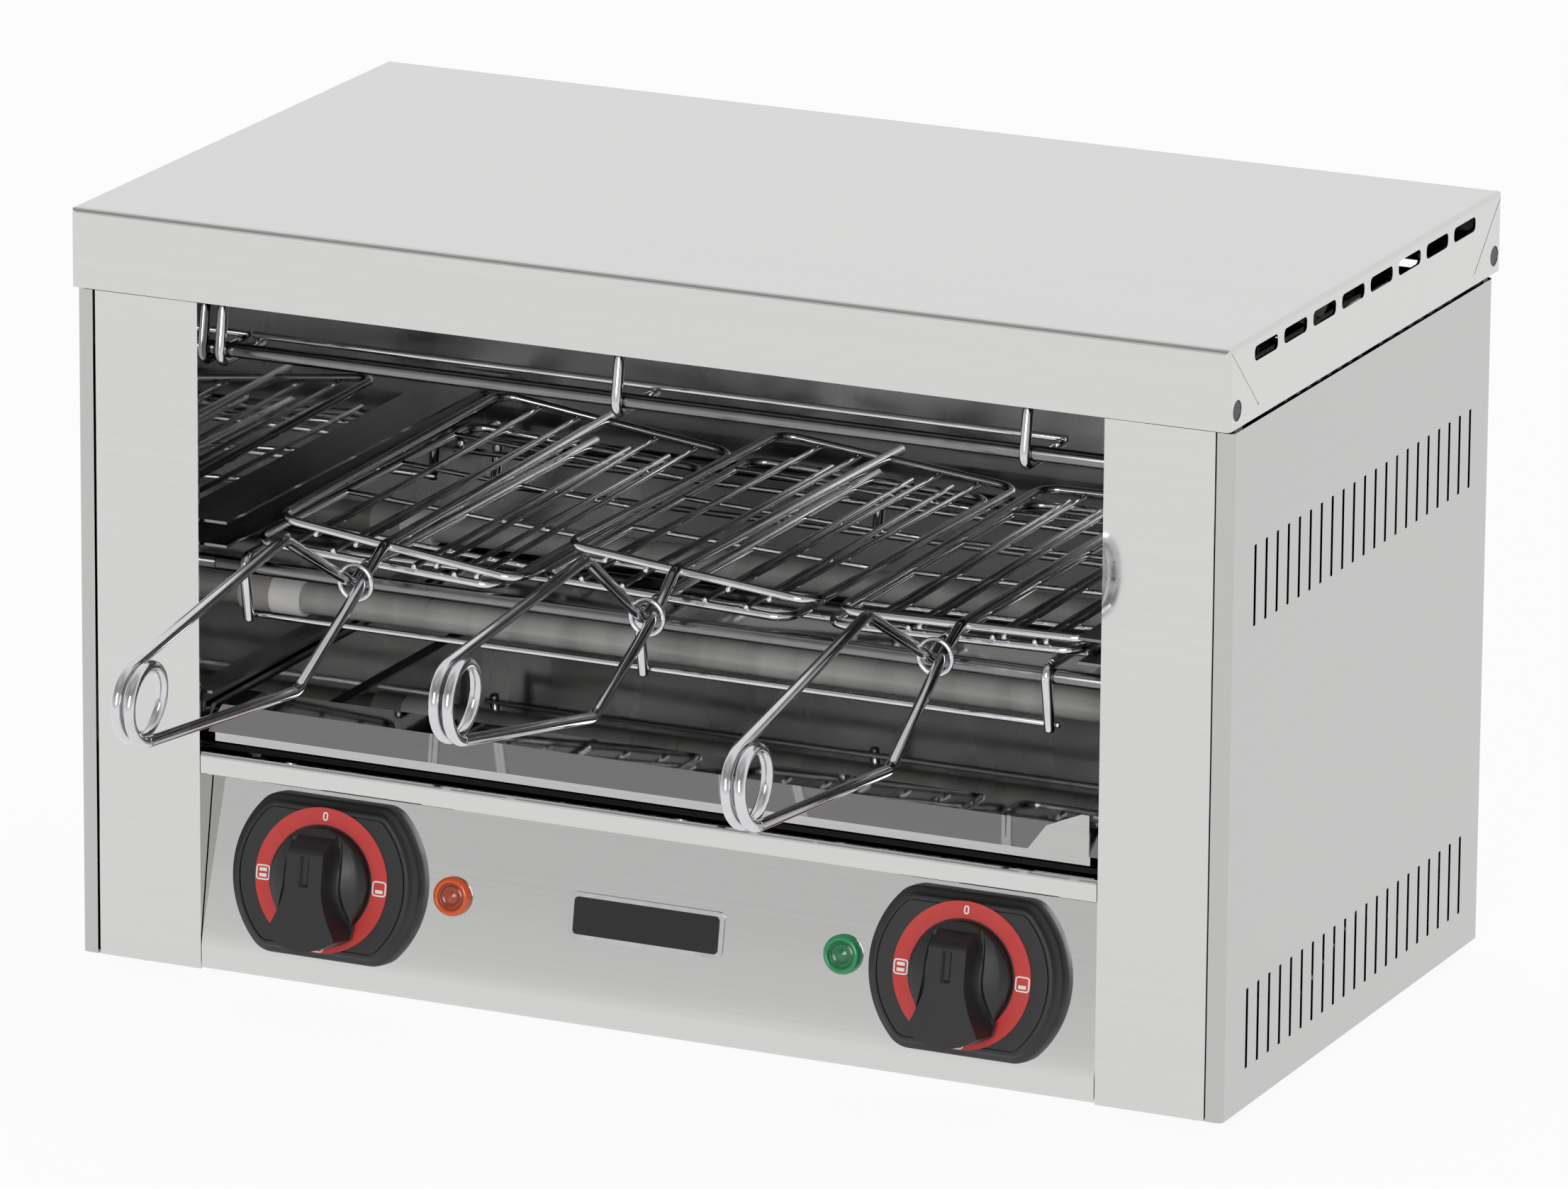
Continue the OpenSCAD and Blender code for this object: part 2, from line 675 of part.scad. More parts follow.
// Quartz tubes, their heating coils and their ceramic ends
module tube(i) color([0.8, 0.8, 0.78, 0.7]) difference() {
    bar_x(tube_places[i].x, tube_places[i].y, tube_d, -tube_x, tube_x);
    bar_x(tube_places[i].x, tube_places[i].y, tube_d - 2 * tube_wall, -tube_x - 1, tube_x + 1);
}
module lower_front_tube() tube(0);
module lower_rear_tube() tube(1);
module upper_front_tube() tube(2);
module upper_rear_tube() tube(3);
module heating_coils() color([0.4, 0.36, 0.33])
    for (p = tube_places) bar_x(p.x, p.y, coil_rod_d, -tube_x, tube_x);
module ceramic_caps() color("white") both() for (p = tube_places) difference() {
    union() {
        bar_x(p.x, p.y, cap_d, wall_x - cap_in, cap_x);
        bar_x(p.x, p.y, cap_collar_d, wall_x + sheet + slip, wall_x + sheet + slip + cap_collar_h);
    }
    bar_x(p.x, p.y, tube_d + slip, wall_x - cap_in - 1, cap_x - cap_end);
}
module tube_terminals() color("gold") both()
    for (p = tube_places) bar_x(p.x, p.y, terminal_d, cap_x, cap_x + terminal_l);

// Welded wire guard: a thick rod, three bent wires hooked round it and two thin wires
module guard_wires(shift) {
    leg = -wrap_r * [cos(guard_lean), sin(guard_lean)];
    down = [sin(guard_lean), -cos(guard_lean)];
    tip = leg + down * guard_upright;
    hold = (guard_wire_d + guard_thin_d) / 2 - weld;
    thin_at = [tip - down * guard_tip + [cos(guard_lean), sin(guard_lean)] * hold,
        [guard_level - guard_tip, wrap_r - hold]];
    bar_x(0, 0, guard_rod_d, -guard_x, guard_x);
    turn = (90 + guard_lean) / hook_bends;
    hook = [for (i = [0.5:hook_bends]) [0, cos(90 + turn * i), sin(90 + turn * i)] * wrap_r / cos(turn / 2)];
    for (i = [-1:1]) translate([shift + i * guard_pitch, 0, 0])
        wire(concat([[0, guard_level, wrap_r]], hook, [[0, tip.x, tip.y]]), guard_wire_d);
    ends = [shift - guard_pitch - guard_past, shift + guard_pitch + guard_past];
    for (p = thin_at) bar_x(p.x, p.y, guard_thin_d, ends[0], ends[1]);
}
module guard(rear, upper) color(chromed)
    translate([0, guard_y[rear], guard_z[upper]]) mirror([0, rear, 0]) mirror([0, 0, upper])
        guard_wires(guard_shift[upper]);
module lower_front_guard() guard(0, 0);
module lower_rear_guard() guard(1, 0);
module upper_front_guard() guard(0, 1);
module upper_rear_guard() guard(1, 1);

// Spring coil of the handle as one tube
module coil_tube(k) {
    n = coil_sides;
    m = len(coil_path);
    side = [for (i = [0:m - 2], j = [0:n - 1])
        let (a = i * n + j, b = i * n + (j + 1) % n) each [[a, a + n, b], [b, a + n, b + n]]];
    caps = [for (j = [1:n - 2], e = [(m - 1) * n]) each [[0, j, j + 1], [e, e + j + 1, e + j]]];
    polyhedron([for (p = coil_points) handle(p, k)], concat(side, caps));
}

// Wire grid: frame with round corners, long bars on one side of it, and cross wires at shares of its length
module grid(length, cross_at, side) {
    x = grid_w / 2;
    r = corner_r;
    for (s = [-1, 1]) bar_y(s * x, 0, frame_wire, r, length - r);
    for (y = [0, length]) bar_x(y, 0, frame_wire, r - x, x - r);
    for (s = [-1, 1], e = [0, 1]) translate([s * (x - r), e ? length - r : r, 0])
        rotate([0, 0, e ? (s > 0 ? 0 : 90) : (s > 0 ? 270 : 180)])
            rotate_extrude(angle = 90) translate([r, 0]) circle(d = frame_wire);
    for (b = bar_places) bar_y(b, side * bar_off, bar_wire, -bar_past, length + 1);
    for (c = cross_at) bar_x(length * c, side * cross_off, cross_wire, -x, x);
}

module lower_jaw(k) color(chromed) in_tong(k) {
    coil_tube(k);
    join = handle(coil_end - unit(peak - coil_at(1)) * 1, k);
    spine_end = [-wire_x, lower_front + lower_l + lower_past, lower_spine_z];
    wire([join, handle(peak, k), [-wire_x, 0, 0], dip, lower_rise, spine_end], tong_wire);
    translate([-wire_x, lower_front, lower_z]) grid(lower_l, lower_cross, 1);
}
module upper_jaw(k) color(chromed) in_tong(k) {
    start = handle(coil_start + unit(bend - coil_at(0)) * jaw_face_gap, k);
    knee = [wire_x, knee_y, upper_rise[k]];
    weld_y = upper_front - knee_y;
    spine_end = knee + (weld_y + upper_l + upper_past) * [0, cos(upper_pitch[k]), sin(upper_pitch[k])];
    wire([start, handle(bend, k), [wire_x, 0, 0], knee, spine_end], tong_wire);
    translate(knee) rotate([upper_pitch[k], 0, 0]) rotate([0, upper_roll[k], 0])
        translate([upper_shift[k], weld_y, -upper_drop]) grid(upper_l, [], -1);
}
module tong_ring(k) color(chromed) in_tong(k)
    rotate([90, 0, 0]) rotate_extrude() translate([ring_r, 0]) circle(d = ring_wire);
module tong_1_lower_jaw() lower_jaw(0);
module tong_2_lower_jaw() lower_jaw(1);
module tong_3_lower_jaw() lower_jaw(2);
module tong_1_upper_jaw() upper_jaw(0);
module tong_2_upper_jaw() upper_jaw(1);
module tong_3_upper_jaw() upper_jaw(2);
module tong_1_ring() tong_ring(0);
module tong_2_ring() tong_ring(1);
module tong_3_ring() tong_ring(2);

// Moulded bezel round each knob
module bezel(x) color(black) on_panel(x) difference() {
    union() {
        linear_extrude(bezel_h - bezel_step) polygon(oval(bezel_size, bezel_power));
        linear_extrude(bezel_h) polygon(oval(bezel_size - 2 * [bezel_step, bezel_step], bezel_power));
    }
    translate([0, 0, -1]) cylinder(d = bezel_bore, h = bezel_h + 2);
}
module left_bezel() bezel(-knob_x);
module right_bezel() bezel(knob_x);

// Printed dial ring round each knob
module dial_ring(x) color([0.8, 0.25, 0.25]) on_panel(x) translate([0, 0, bezel_h])
    rotate_extrude() translate([knob_r + dial_in, 0]) square([dial_r - knob_r - dial_in, dial_h]);
module left_dial_ring() dial_ring(-knob_x);
module right_dial_ring() dial_ring(knob_x);

// Knob: round skirt under a grip with a sloping nose, which flares and overhangs at its foot
module grip() intersection() {
    linear_extrude(grip_h) polygon(rounded([
        [-grip_w, nose_low], [-grip_w, 0], [-flare_w, -flare_v], [0, -flare_r - nose_r],
        [flare_w, -flare_v], [grip_w, 0], [grip_w, nose_low]],
        [0, flare_r, nose_r, flare_r, nose_r, flare_r, 0]));
    sheet_x(rounded([
        [nose_low, 0], [nose_low, skirt_h], [nose_top, grip_h], [-flare_r, grip_h], [-flare_foot, 0]],
        [0, nose_r, nose_r, 0, 0]), -flare_r, flare_r);
}
module knob(x) color(black) on_panel(x) translate([0, 0, knob_lift]) difference() {
    union() {
        cylinder(r = knob_r, h = skirt_h);
        grip();
    }
    translate([0, 0, -1]) cylinder(d = spindle_d + 2 * running, h = grip_h - spindle_tip + spindle_end + 1);
    translate([-pointer_w / 2, nose_top - pointer_l, grip_h - pointer_deep])
        cube([pointer_w, pointer_l + nose_r, pointer_deep + 1]);
}
module left_knob() knob(-knob_x);
module right_knob() knob(knob_x);

// Spindle that joins each knob to its switch
module spindle(x) color("silver") on_panel(x) translate([0, 0, -spindle_in - sheet])
    cylinder(d = spindle_d, h = knob_lift + grip_h - spindle_tip + spindle_in + sheet);
module left_spindle() spindle(-knob_x);
module right_spindle() spindle(knob_x);

// Rotary switches behind the panel, each with a bush through it
module rotary_switches() color([0.85, 0.8, 0.7]) for (x = [-knob_x, knob_x]) on_panel(x) difference() {
    union() {
        translate([-switch_size.x / 2, -switch_size.y / 2, -sheet - switch_size.z]) cube(switch_size);
        translate([0, 0, -sheet - 1]) cylinder(d = bush_d, h = bush_h + sheet + 1);
    }
    translate([0, 0, -spindle_in - sheet - air])
        cylinder(d = spindle_d + 2 * running, h = spindle_in + bush_h + sheet + 1);
}

// Pilot lamps: jewel lenses and the lamp holders behind the panel
module lens(x) on_panel(x) {
    cylinder(d = lens_d, h = lens_h);
    translate([0, 0, lens_h - tiny])
        cylinder(d1 = lens_d - lens_step, d2 = lens_d - lens_crown, h = lens_dome);
    translate([0, 0, -lens_stem_h]) cylinder(d = lens_stem, h = lens_stem_h + 1);
}
module amber_lens() color([0.9, 0.4, 0.1]) lens(-lamp_x);
module green_lens() color([0.1, 0.65, 0.4]) lens(lamp_x);
module lamp_bodies() color(black) for (x = [-lamp_x, lamp_x]) on_panel(x) difference() {
    translate([0, 0, -sheet - lamp_h]) cylinder(d = lamp_d, h = lamp_h);
    translate([0, 0, -lens_stem_h - slip]) cylinder(d = lens_stem + 2 * slip, h = lens_stem_h + 1);
}

// Blank name plate: bright border and dark field
module plate(size, r) linear_extrude(plate_h) polygon(rounded(rectangle(-size / 2, size / 2), same(r)));
module name_plate() color("silver") on_panel(0) plate(plate_size, plate_r);
module name_plate_field() color(black) on_panel(0) translate([0, 0, plate_h]) {
    half = plate_size / 2 - [field_border, field_border];
    linear_extrude(field_h) polygon(rounded(rectangle(-half, half), same(field_r)));
}

// Terminal block on the base plate and the loom that joins the electrical parts
module terminal_block() color([0.15, 0.15, 0.15])
    translate([gland_x, block_y - block_size.y / 2, floor_z]) difference() {
        translate([-block_size.x / 2, -block_size.y / 2, 0]) cube(block_size);
        for (i = [1:block_ways], y = [-block_screw_y, block_screw_y])
            translate([(i - (block_ways + 1) / 2) * block_pitch, y, block_size.z - block_screw_deep])
                cylinder(d = block_screw_d, h = block_screw_deep + 1);
    }
module wiring() color([0.75, 0.72, 0.65]) {
    switch_y = knob_y + (switch_size.z + sheet) * cos(tilt) + lead_end;
    switch_z = knob_z - (switch_size.z + sheet) * sin(tilt);
    lamp_y = knob_y + (lamp_h + sheet) * cos(tilt) + lead_end;
    lamp_z = knob_z - (lamp_h + sheet) * sin(tilt);
    lead_x = gland_x + block_lead;
    nut_y = rear_y - gland_nut_h;
    wire([[gland_x, nut_y - air, gland_z], [gland_x, block_y + loom_slack, gland_z],
        [gland_x, block_y + loom_slack, loom_run_z], [gland_x, block_y + air, loom_run_z]], loom_d);
    wire([[lead_x, block_y - block_size.y - air, loom_run_z], [lead_x, loom_cross_y, loom_run_z],
        [knob_x, loom_cross_y, loom_run_z], [knob_x, loom_turn_y, loom_run_z],
        [knob_x, loom_turn_y, switch_z], [knob_x, switch_y, switch_z]], loom_d);
    rod([lead_x, loom_cross_y, loom_run_z], [-knob_x - branch_past, loom_cross_y, loom_run_z], branch_d);
    wire([[-knob_x, loom_cross_y, loom_run_z], [-knob_x, loom_turn_y, loom_run_z],
        [-knob_x, loom_turn_y, switch_z], [-knob_x, switch_y, switch_z]], loom_d);
    for (x = [-lamp_x, lamp_x])
        wire([[x, loom_cross_y, loom_run_z], [x, loom_turn_y, loom_run_z],
            [x, loom_turn_y, lamp_z], [x, lamp_y, lamp_z]], lead_d);
    both() {
        wire([[knob_x, loom_y, loom_run_z], [knob_x + loom_reach, loom_y, loom_z],
            [loom_side_x, loom_y, loom_z], [loom_side_x, loom_y, tube_z[1]]], branch_d);
        for (z = tube_z)
            rod([loom_side_x, tube_y[0] - bus_past, z], [loom_side_x, tube_y[1] + bus_past, z], bus_d);
    }
}

// Cord inlet bushing with its flange outside and nut inside
module cable_gland() color(black) difference() {
    union() {
        bar_y(gland_x, gland_z, gland_flange_d, back_y, back_y + gland_proud);
        bar_y(gland_x, gland_z, gland_d, rear_y - gland_nut_h, back_y + 1);
        translate([gland_x, rear_y, gland_z]) rotate([90, 0, 0])
            cylinder(d = gland_nut_d, h = gland_nut_h, $fn = 6);
    }
    bar_y(gland_x, gland_z, gland_bore, rear_y - gland_nut_h - 1, back_y + gland_proud + 1);
}

// Brackets welded inside the side panels, and the screws that hold the cover to them
module cover_bracket(end, low, inward) difference() {
    edge = end + inward * (sheet + bracket_set);
    step_z = cover_z + bracket_step;
    sheet_x([
        [edge, step_z], [edge, cover_z + bracket_up], [edge + inward * bracket_w, cover_z + bracket_up],
        [edge + inward * bracket_w, body_h - bracket_down], [low, body_h - bracket_down], [low, step_z]],
        half_w - 2 * sheet, half_w - sheet);
    bar_x(end + inward * screw_y, cover_z + screw_z, screw_d + 2 * slip, half_w - 3 * sheet, half_w);
}
module cover_brackets() color(dark_steel) both() {
    cover_bracket(0, skin_y + bend_r, 1);
    cover_bracket(body_d, rear_y - sheet - bend_r, -1);
}
module cover_screws() color(dark_steel) both() for (y = [screw_y, body_d - screw_y]) {
    bar_x(y, cover_z + screw_z, cover_hole_d - 2 * slip, half_w - sheet, half_w - slip);
    bar_x(y, cover_z + screw_z, screw_d, half_w - 2 * sheet - screw_reach, half_w - sheet / 2);
}
module back_screws() color(dark_steel) for (x = [-1, 1], z = back_screw_z) {
    bar_y(x * (half_w - back_screw_in), z, back_head_d, back_y, back_y + back_head_h);
    bar_y(x * (half_w - back_screw_in), z, back_screw_d, rear_y - sheet - 4, back_y + 1);
}

// Rubber feet and the screws that hold them
module feet() color(black) for (p = foot_places) translate([p.x, p.y, -foot_h]) difference() {
    cylinder(d1 = foot_d - foot_taper, d2 = foot_d, h = foot_h);
    translate([0, 0, -1]) cylinder(d = foot_screw_d + 2 * slip, h = foot_h + 2);
    translate([0, 0, -1]) cylinder(d = foot_head_d + 2 * slip, h = foot_h / 2 + 1);
}
module foot_screws() color(dark_steel) for (p = foot_places) translate([p.x, p.y, 0]) {
    translate([0, 0, -foot_h / 2 - foot_head_h]) cylinder(d = foot_head_d, h = foot_head_h);
    translate([0, 0, -foot_h / 2 - 1]) cylinder(d = foot_screw_d, h = foot_h / 2 + floor_z + foot_nut_h + 2);
    translate([0, 0, floor_z]) cylinder(d = foot_nut_d, h = foot_nut_h, $fn = 6);
}

in_frame() top_cover();
in_frame() left_side_panel();
in_frame() right_side_panel();
in_frame() back_panel();
in_frame() base_plate();
in_frame() left_front_post();
in_frame() right_front_post();
in_frame() control_panel();
in_frame() left_chamber_wall();
in_frame() right_chamber_wall();
in_frame() chamber_back();
in_frame() chamber_roof();
in_frame() heat_shield();
in_frame() crumb_tray();
in_frame() tray_runners();
in_frame() tong_rails();
in_frame() lower_front_tube();
in_frame() lower_rear_tube();
in_frame() upper_front_tube();
in_frame() upper_rear_tube();
in_frame() heating_coils();
in_frame() ceramic_caps();
in_frame() tube_terminals();
in_frame() lower_front_guard();
in_frame() lower_rear_guard();
in_frame() upper_front_guard();
in_frame() upper_rear_guard();
in_frame() tong_1_lower_jaw();
in_frame() tong_2_lower_jaw();
in_frame() tong_3_lower_jaw();
in_frame() tong_1_upper_jaw();
in_frame() tong_2_upper_jaw();
in_frame() tong_3_upper_jaw();
in_frame() tong_1_ring();
in_frame() tong_2_ring();
in_frame() tong_3_ring();
in_frame() left_bezel();
in_frame() right_bezel();
in_frame() left_dial_ring();
in_frame() right_dial_ring();
in_frame() left_knob();
in_frame() right_knob();
in_frame() left_spindle();
in_frame() right_spindle();
in_frame() rotary_switches();
in_frame() amber_lens();
in_frame() green_lens();
in_frame() lamp_bodies();
in_frame() name_plate();
in_frame() name_plate_field();
in_frame() terminal_block();
in_frame() wiring();
in_frame() cable_gland();
in_frame() cover_brackets();
in_frame() cover_screws();
in_frame() back_screws();
in_frame() feet();
in_frame() foot_screws();
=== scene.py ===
import math

import bmesh
import bpy
from mathutils import Matrix, Vector


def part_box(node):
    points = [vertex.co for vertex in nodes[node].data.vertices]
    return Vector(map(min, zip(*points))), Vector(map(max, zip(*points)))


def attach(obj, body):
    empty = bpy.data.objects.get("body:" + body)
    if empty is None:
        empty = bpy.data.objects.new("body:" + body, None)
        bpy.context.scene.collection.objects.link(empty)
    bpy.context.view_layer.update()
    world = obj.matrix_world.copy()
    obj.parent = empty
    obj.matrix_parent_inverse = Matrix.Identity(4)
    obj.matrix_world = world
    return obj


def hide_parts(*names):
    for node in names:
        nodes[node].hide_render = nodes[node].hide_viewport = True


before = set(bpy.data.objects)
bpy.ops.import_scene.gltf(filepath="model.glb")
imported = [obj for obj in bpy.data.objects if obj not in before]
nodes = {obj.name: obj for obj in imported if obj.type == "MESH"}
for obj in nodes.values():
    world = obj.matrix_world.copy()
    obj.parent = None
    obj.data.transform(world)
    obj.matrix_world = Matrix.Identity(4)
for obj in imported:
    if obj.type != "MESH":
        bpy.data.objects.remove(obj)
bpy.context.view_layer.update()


# Casing: base plate, side panels, back panel, front posts, control panel and top cover.
# One millimetre stainless sheet with the bright finish that it left the rolling mill with,
# cut, folded on a press brake, then spot welded and screwed together.
# Sizes are in millimetres where no comment says otherwise; mm turns them into the frame's metres.
mm = 0.001
casing_light = "#D7D7D6"
casing_dark = "#D0D0CF"
# The sides are the front's sheet, set greyer as painted shade.
shaded_side_light = "#C2C2C1"
shaded_side_dark = "#BBBBBA"
casing_roughness = 0.04
line_gloss = (0.7, 1.4)
# Real rolling lines are far finer than a pixel of the render; they are drawn this coarse to show at all.
roll_line = 0.6
roll_length = 200
wave_length = 110
wave_height = 0.02
grain_height = 0.0002
# Most of a noise pattern lies between these two levels.
noise_low, noise_high = 0.3, 0.7
edge_angle = 40
edge_steps = 2
joined_within = 0.001


def linear(colour):
    """An sRGB hex colour as linear RGBA."""
    parts = [int(colour[i:i + 2], 16) / 255 for i in (1, 3, 5)]
    return [p / 12.92 if p <= 0.04045 else ((p + 0.055) / 1.055) ** 2.4 for p in parts] + [1.0]


def add(tree, kind, inputs=None, **settings):
    """Adds a node with its settings; an input takes a constant or another node's output."""
    made = tree.nodes.new(kind)
    for name, value in settings.items():
        setattr(made, name, value)
    for name, value in (inputs or {}).items():
        if isinstance(value, bpy.types.NodeSocket):
            tree.links.new(value, made.inputs[name])
        else:
            made.inputs[name].default_value = value
    return made


def start_material(name):
    """A new material with an empty node tree, and the place of each point in metres."""
    made = bpy.data.materials.new(name)
    made.use_nodes = True
    tree = made.node_tree
    tree.nodes.clear()
    return made, tree, add(tree, "ShaderNodeTexCoord").outputs["Object"]


def end_material(tree, **sockets):
    """Closes a material with a principled shader; sockets are named with underscores for spaces."""
    inputs = {name.replace("_", " "): value for name, value in sockets.items()}
    shader = add(tree, "ShaderNodeBsdfPrincipled", inputs)
    add(tree, "ShaderNodeOutputMaterial", {"Surface": shader.outputs["BSDF"]})


def rolled_steel(name, light, dark, roughness, lines):
    """Bright rolled stainless: fine lines along the rolling direction and a slow waviness in the sheet."""
    made, tree, where = start_material(name)
    per_metre = [1 / (length * mm) for length in lines]
    drawn = add(tree, "ShaderNodeVectorMath", {0: where, 1: per_metre}, operation="MULTIPLY")
    grain = add(tree, "ShaderNodeTexNoise", {"Vector": drawn.outputs["Vector"], "Scale": 1.0, "Detail": 3.0})
    wave = add(tree, "ShaderNodeTexNoise", {"Vector": where, "Scale": 1 / (wave_length * mm), "Detail": 1.0})
    tone = add(tree, "ShaderNodeMixRGB", {
        "Fac": grain.outputs["Fac"], "Color1": linear(dark), "Color2": linear(light)})
    gloss = add(tree, "ShaderNodeMapRange", {
        "Value": grain.outputs["Fac"], "From Min": noise_low, "From Max": noise_high,
        "To Min": roughness * line_gloss[0], "To Max": roughness * line_gloss[1]})
    slow = add(tree, "ShaderNodeBump", {
        "Height": wave.outputs["Fac"], "Strength": 1.0, "Distance": wave_height * mm})
    fine = add(tree, "ShaderNodeBump", {
        "Height": grain.outputs["Fac"], "Strength": 1.0, "Distance": grain_height * mm,
        "Normal": slow.outputs["Normal"]})
    end_material(tree, Base_Color=tone.outputs["Color"], Metallic=1.0,
                 Roughness=gloss.outputs["Result"], Normal=fine.outputs["Normal"])
    return made


def break_edges(item, width):
    """Breaks the sharp edges of an object to a width in millimetres."""
    weld = item.modifiers.new("joined faces", "WELD")
    weld.merge_threshold = joined_within * mm
    bevel = item.modifiers.new("broken edges", "BEVEL")
    bevel.width = width * mm
    bevel.segments = edge_steps
    bevel.limit_method = "ANGLE"
    bevel.angle_limit = math.radians(edge_angle)
    bevel.harden_normals = True


def dress(finish, *names, edge=0.0):
    """Gives CAD nodes their finish, and breaks their sharp edges where a width is given."""
    for name in names:
        for place in nodes[name].material_slots:
            place.material = finish
        if edge:
            break_edges(nodes[name], edge)


# The bright mill finish is a soft mirror: the room shows in it, drawn out along faint lines.
casing_steel = rolled_steel("bright rolled stainless steel, lines across the front", casing_light,
                            casing_dark, casing_roughness, (roll_length, roll_line, roll_line))
# On the sides the lines run from front to back, and the colour is a shade greyer, as in the photograph:
# painted shade on the same sheet.
shaded_side_steel = rolled_steel("bright rolled stainless steel, lines along the sides", shaded_side_light,
                          shaded_side_dark, casing_roughness, (roll_line, roll_length, roll_line))
dress(casing_steel, "top_cover", "left_front_post", "right_front_post", "control_panel", "back_panel",
      "base_plate")
dress(shaded_side_steel, "left_side_panel", "right_side_panel")


# Toasting chamber: side walls, back wall, roof and the shield over the control space.
# Stainless reflectors, spot welded: the side walls keep their mirror, the back and the roof have gone dull in
# streaks from the heat, all of them are darker low down, and the shield is painted near black as painted
# shade.
mirror_straw, mirror_blue = "#B9B7B4", "#A6A7AA"
mirror_roughness = 0.03
mirror_cloud = (55, 55, 55)
dull_straw, dull_blue = "#A6A4A1", "#8E8F92"
dull_roughness = 0.26
dull_streak = (26, 60, 120)
darker_low_colour = "#807E7B"
# The heights in metres between which the steel goes from tinted to its darker low colour.
darken_from, darken_to = 0.145, 0.085
cloud_gloss = (0.7, 1.5)
# The shield's near black colour is painted shade.
painted_shade_black = "#2A2928"
shield_roughness = 0.4
shield_cloud = (26, 60, 60)
soot_grain = 2.2
soot_height = 0.0003


def heated_steel(name, straw, blue, low_colour, roughness, cloud_size):
    """Stainless steel with clouds of heat tint, sized in millimetres along each axis, and a darker colour low
    down.
    """
    made, tree, where = start_material(name)
    per_metre = [1 / (length * mm) for length in cloud_size]
    spread = add(tree, "ShaderNodeVectorMath", {0: where, 1: per_metre}, operation="MULTIPLY")
    cloud = add(tree, "ShaderNodeTexNoise", {"Vector": spread.outputs["Vector"], "Scale": 1.0, "Detail": 3.0})
    soot = add(tree, "ShaderNodeTexNoise", {"Vector": where, "Scale": 1 / (soot_grain * mm), "Detail": 4.0})
    tint = add(tree, "ShaderNodeMixRGB", {
        "Fac": cloud.outputs["Fac"], "Color1": linear(blue), "Color2": linear(straw)})
    height = add(tree, "ShaderNodeSeparateXYZ", {"Vector": where})
    low = add(tree, "ShaderNodeMapRange", {
        "Value": height.outputs["Z"], "From Min": darken_from, "From Max": darken_to},
        interpolation_type="SMOOTHSTEP")
    tone = add(tree, "ShaderNodeMixRGB", {
        "Fac": low.outputs["Result"], "Color1": tint.outputs["Color"], "Color2": linear(low_colour)})
    gloss = add(tree, "ShaderNodeMapRange", {
        "Value": cloud.outputs["Fac"], "From Min": noise_low, "From Max": noise_high,
        "To Min": roughness * cloud_gloss[0], "To Max": roughness * cloud_gloss[1]})
    film = add(tree, "ShaderNodeBump", {
        "Height": soot.outputs["Fac"], "Strength": 0.6, "Distance": soot_height * mm})
    end_material(tree, Base_Color=tone.outputs["Color"], Metallic=1.0,
                 Roughness=gloss.outputs["Result"], Normal=film.outputs["Normal"])
    return made


# The walls still mirror the tubes and the wires, under a faint bloom of straw and blue.
wall_steel = heated_steel("mirror stainless steel, faintly heat tinted", mirror_straw, mirror_blue, darker_low_colour,
                          mirror_roughness, mirror_cloud)
# The back and the roof keep only a smeared shine, in upright streaks.
dull_steel = heated_steel("stainless steel dulled by heat", dull_straw, dull_blue, darker_low_colour,
                          dull_roughness, dull_streak)
# The shield's near black is painted shade for the dark slot under the tray, with a dim, broad gleam.
shaded_shield_steel = heated_steel("stainless steel painted near black as shade", dull_straw, dull_blue, painted_shade_black,
                          shield_roughness, shield_cloud)
dress(wall_steel, "left_chamber_wall", "right_chamber_wall")
dress(dull_steel, "chamber_back", "chamber_roof")
dress(shaded_shield_steel, "heat_shield")


# Crumb tray, its runners and the rails for the tongs.
# Polished stainless sheet: the tray slides on its two rims in the runners, and both C sections
# are spot welded to the chamber walls.
tray_light = "#C2C2C1"
tray_dark = "#B6B6B5"
tray_roughness = 0.03
rail_light = "#8F8F8F"
rail_dark = "#7A7A7A"
rail_roughness = 0.14

# The tray's polish is the clearest mirror here: its apron takes the grey of the room in front.
tray_steel = rolled_steel("polished stainless steel tray", tray_light, tray_dark, tray_roughness,
                          (roll_length, roll_line, roll_line))
# Heat and wear have turned the rails' polish satin and grey.
rail_steel = rolled_steel("polished stainless steel rail", rail_light, rail_dark, rail_roughness,
                          (roll_line, roll_length, roll_line))
dress(tray_steel, "crumb_tray")
dress(rail_steel, "tray_runners", "tong_rails")


# Heaters: four quartz tubes, the resistance coil in each, the ceramic ends and the brass terminals.
# Milky fused quartz is drawn as tube, steatite caps are pressed and fired, and the caps sit in the walls.
quartz_light = "#D6D5D1"
quartz_dark = "#8E8E8C"
quartz_gloss = (0.2, 0.42)
quartz_band = 12
# Across the tube, in waves per metre, the bands hardly change.
quartz_across = 6.0
ceramic_light = "#F4F3F0"
ceramic_dark = "#E8E6E2"
ceramic_roughness = 0.62
# The fired grain is finer than this in truth, and is drawn coarser so that it shows.
ceramic_grain = 1.2
ceramic_height = 0.03
ceramic_edge = 0.4
metal_gloss = (0.8, 1.3)
dulled = 0.72
coil_metal = "#6A625C"
coil_roughness, coil_blotch = 0.5, 1.5
brass_colour = "#C7A863"
brass_roughness, brass_blotch = 0.3, 2.0

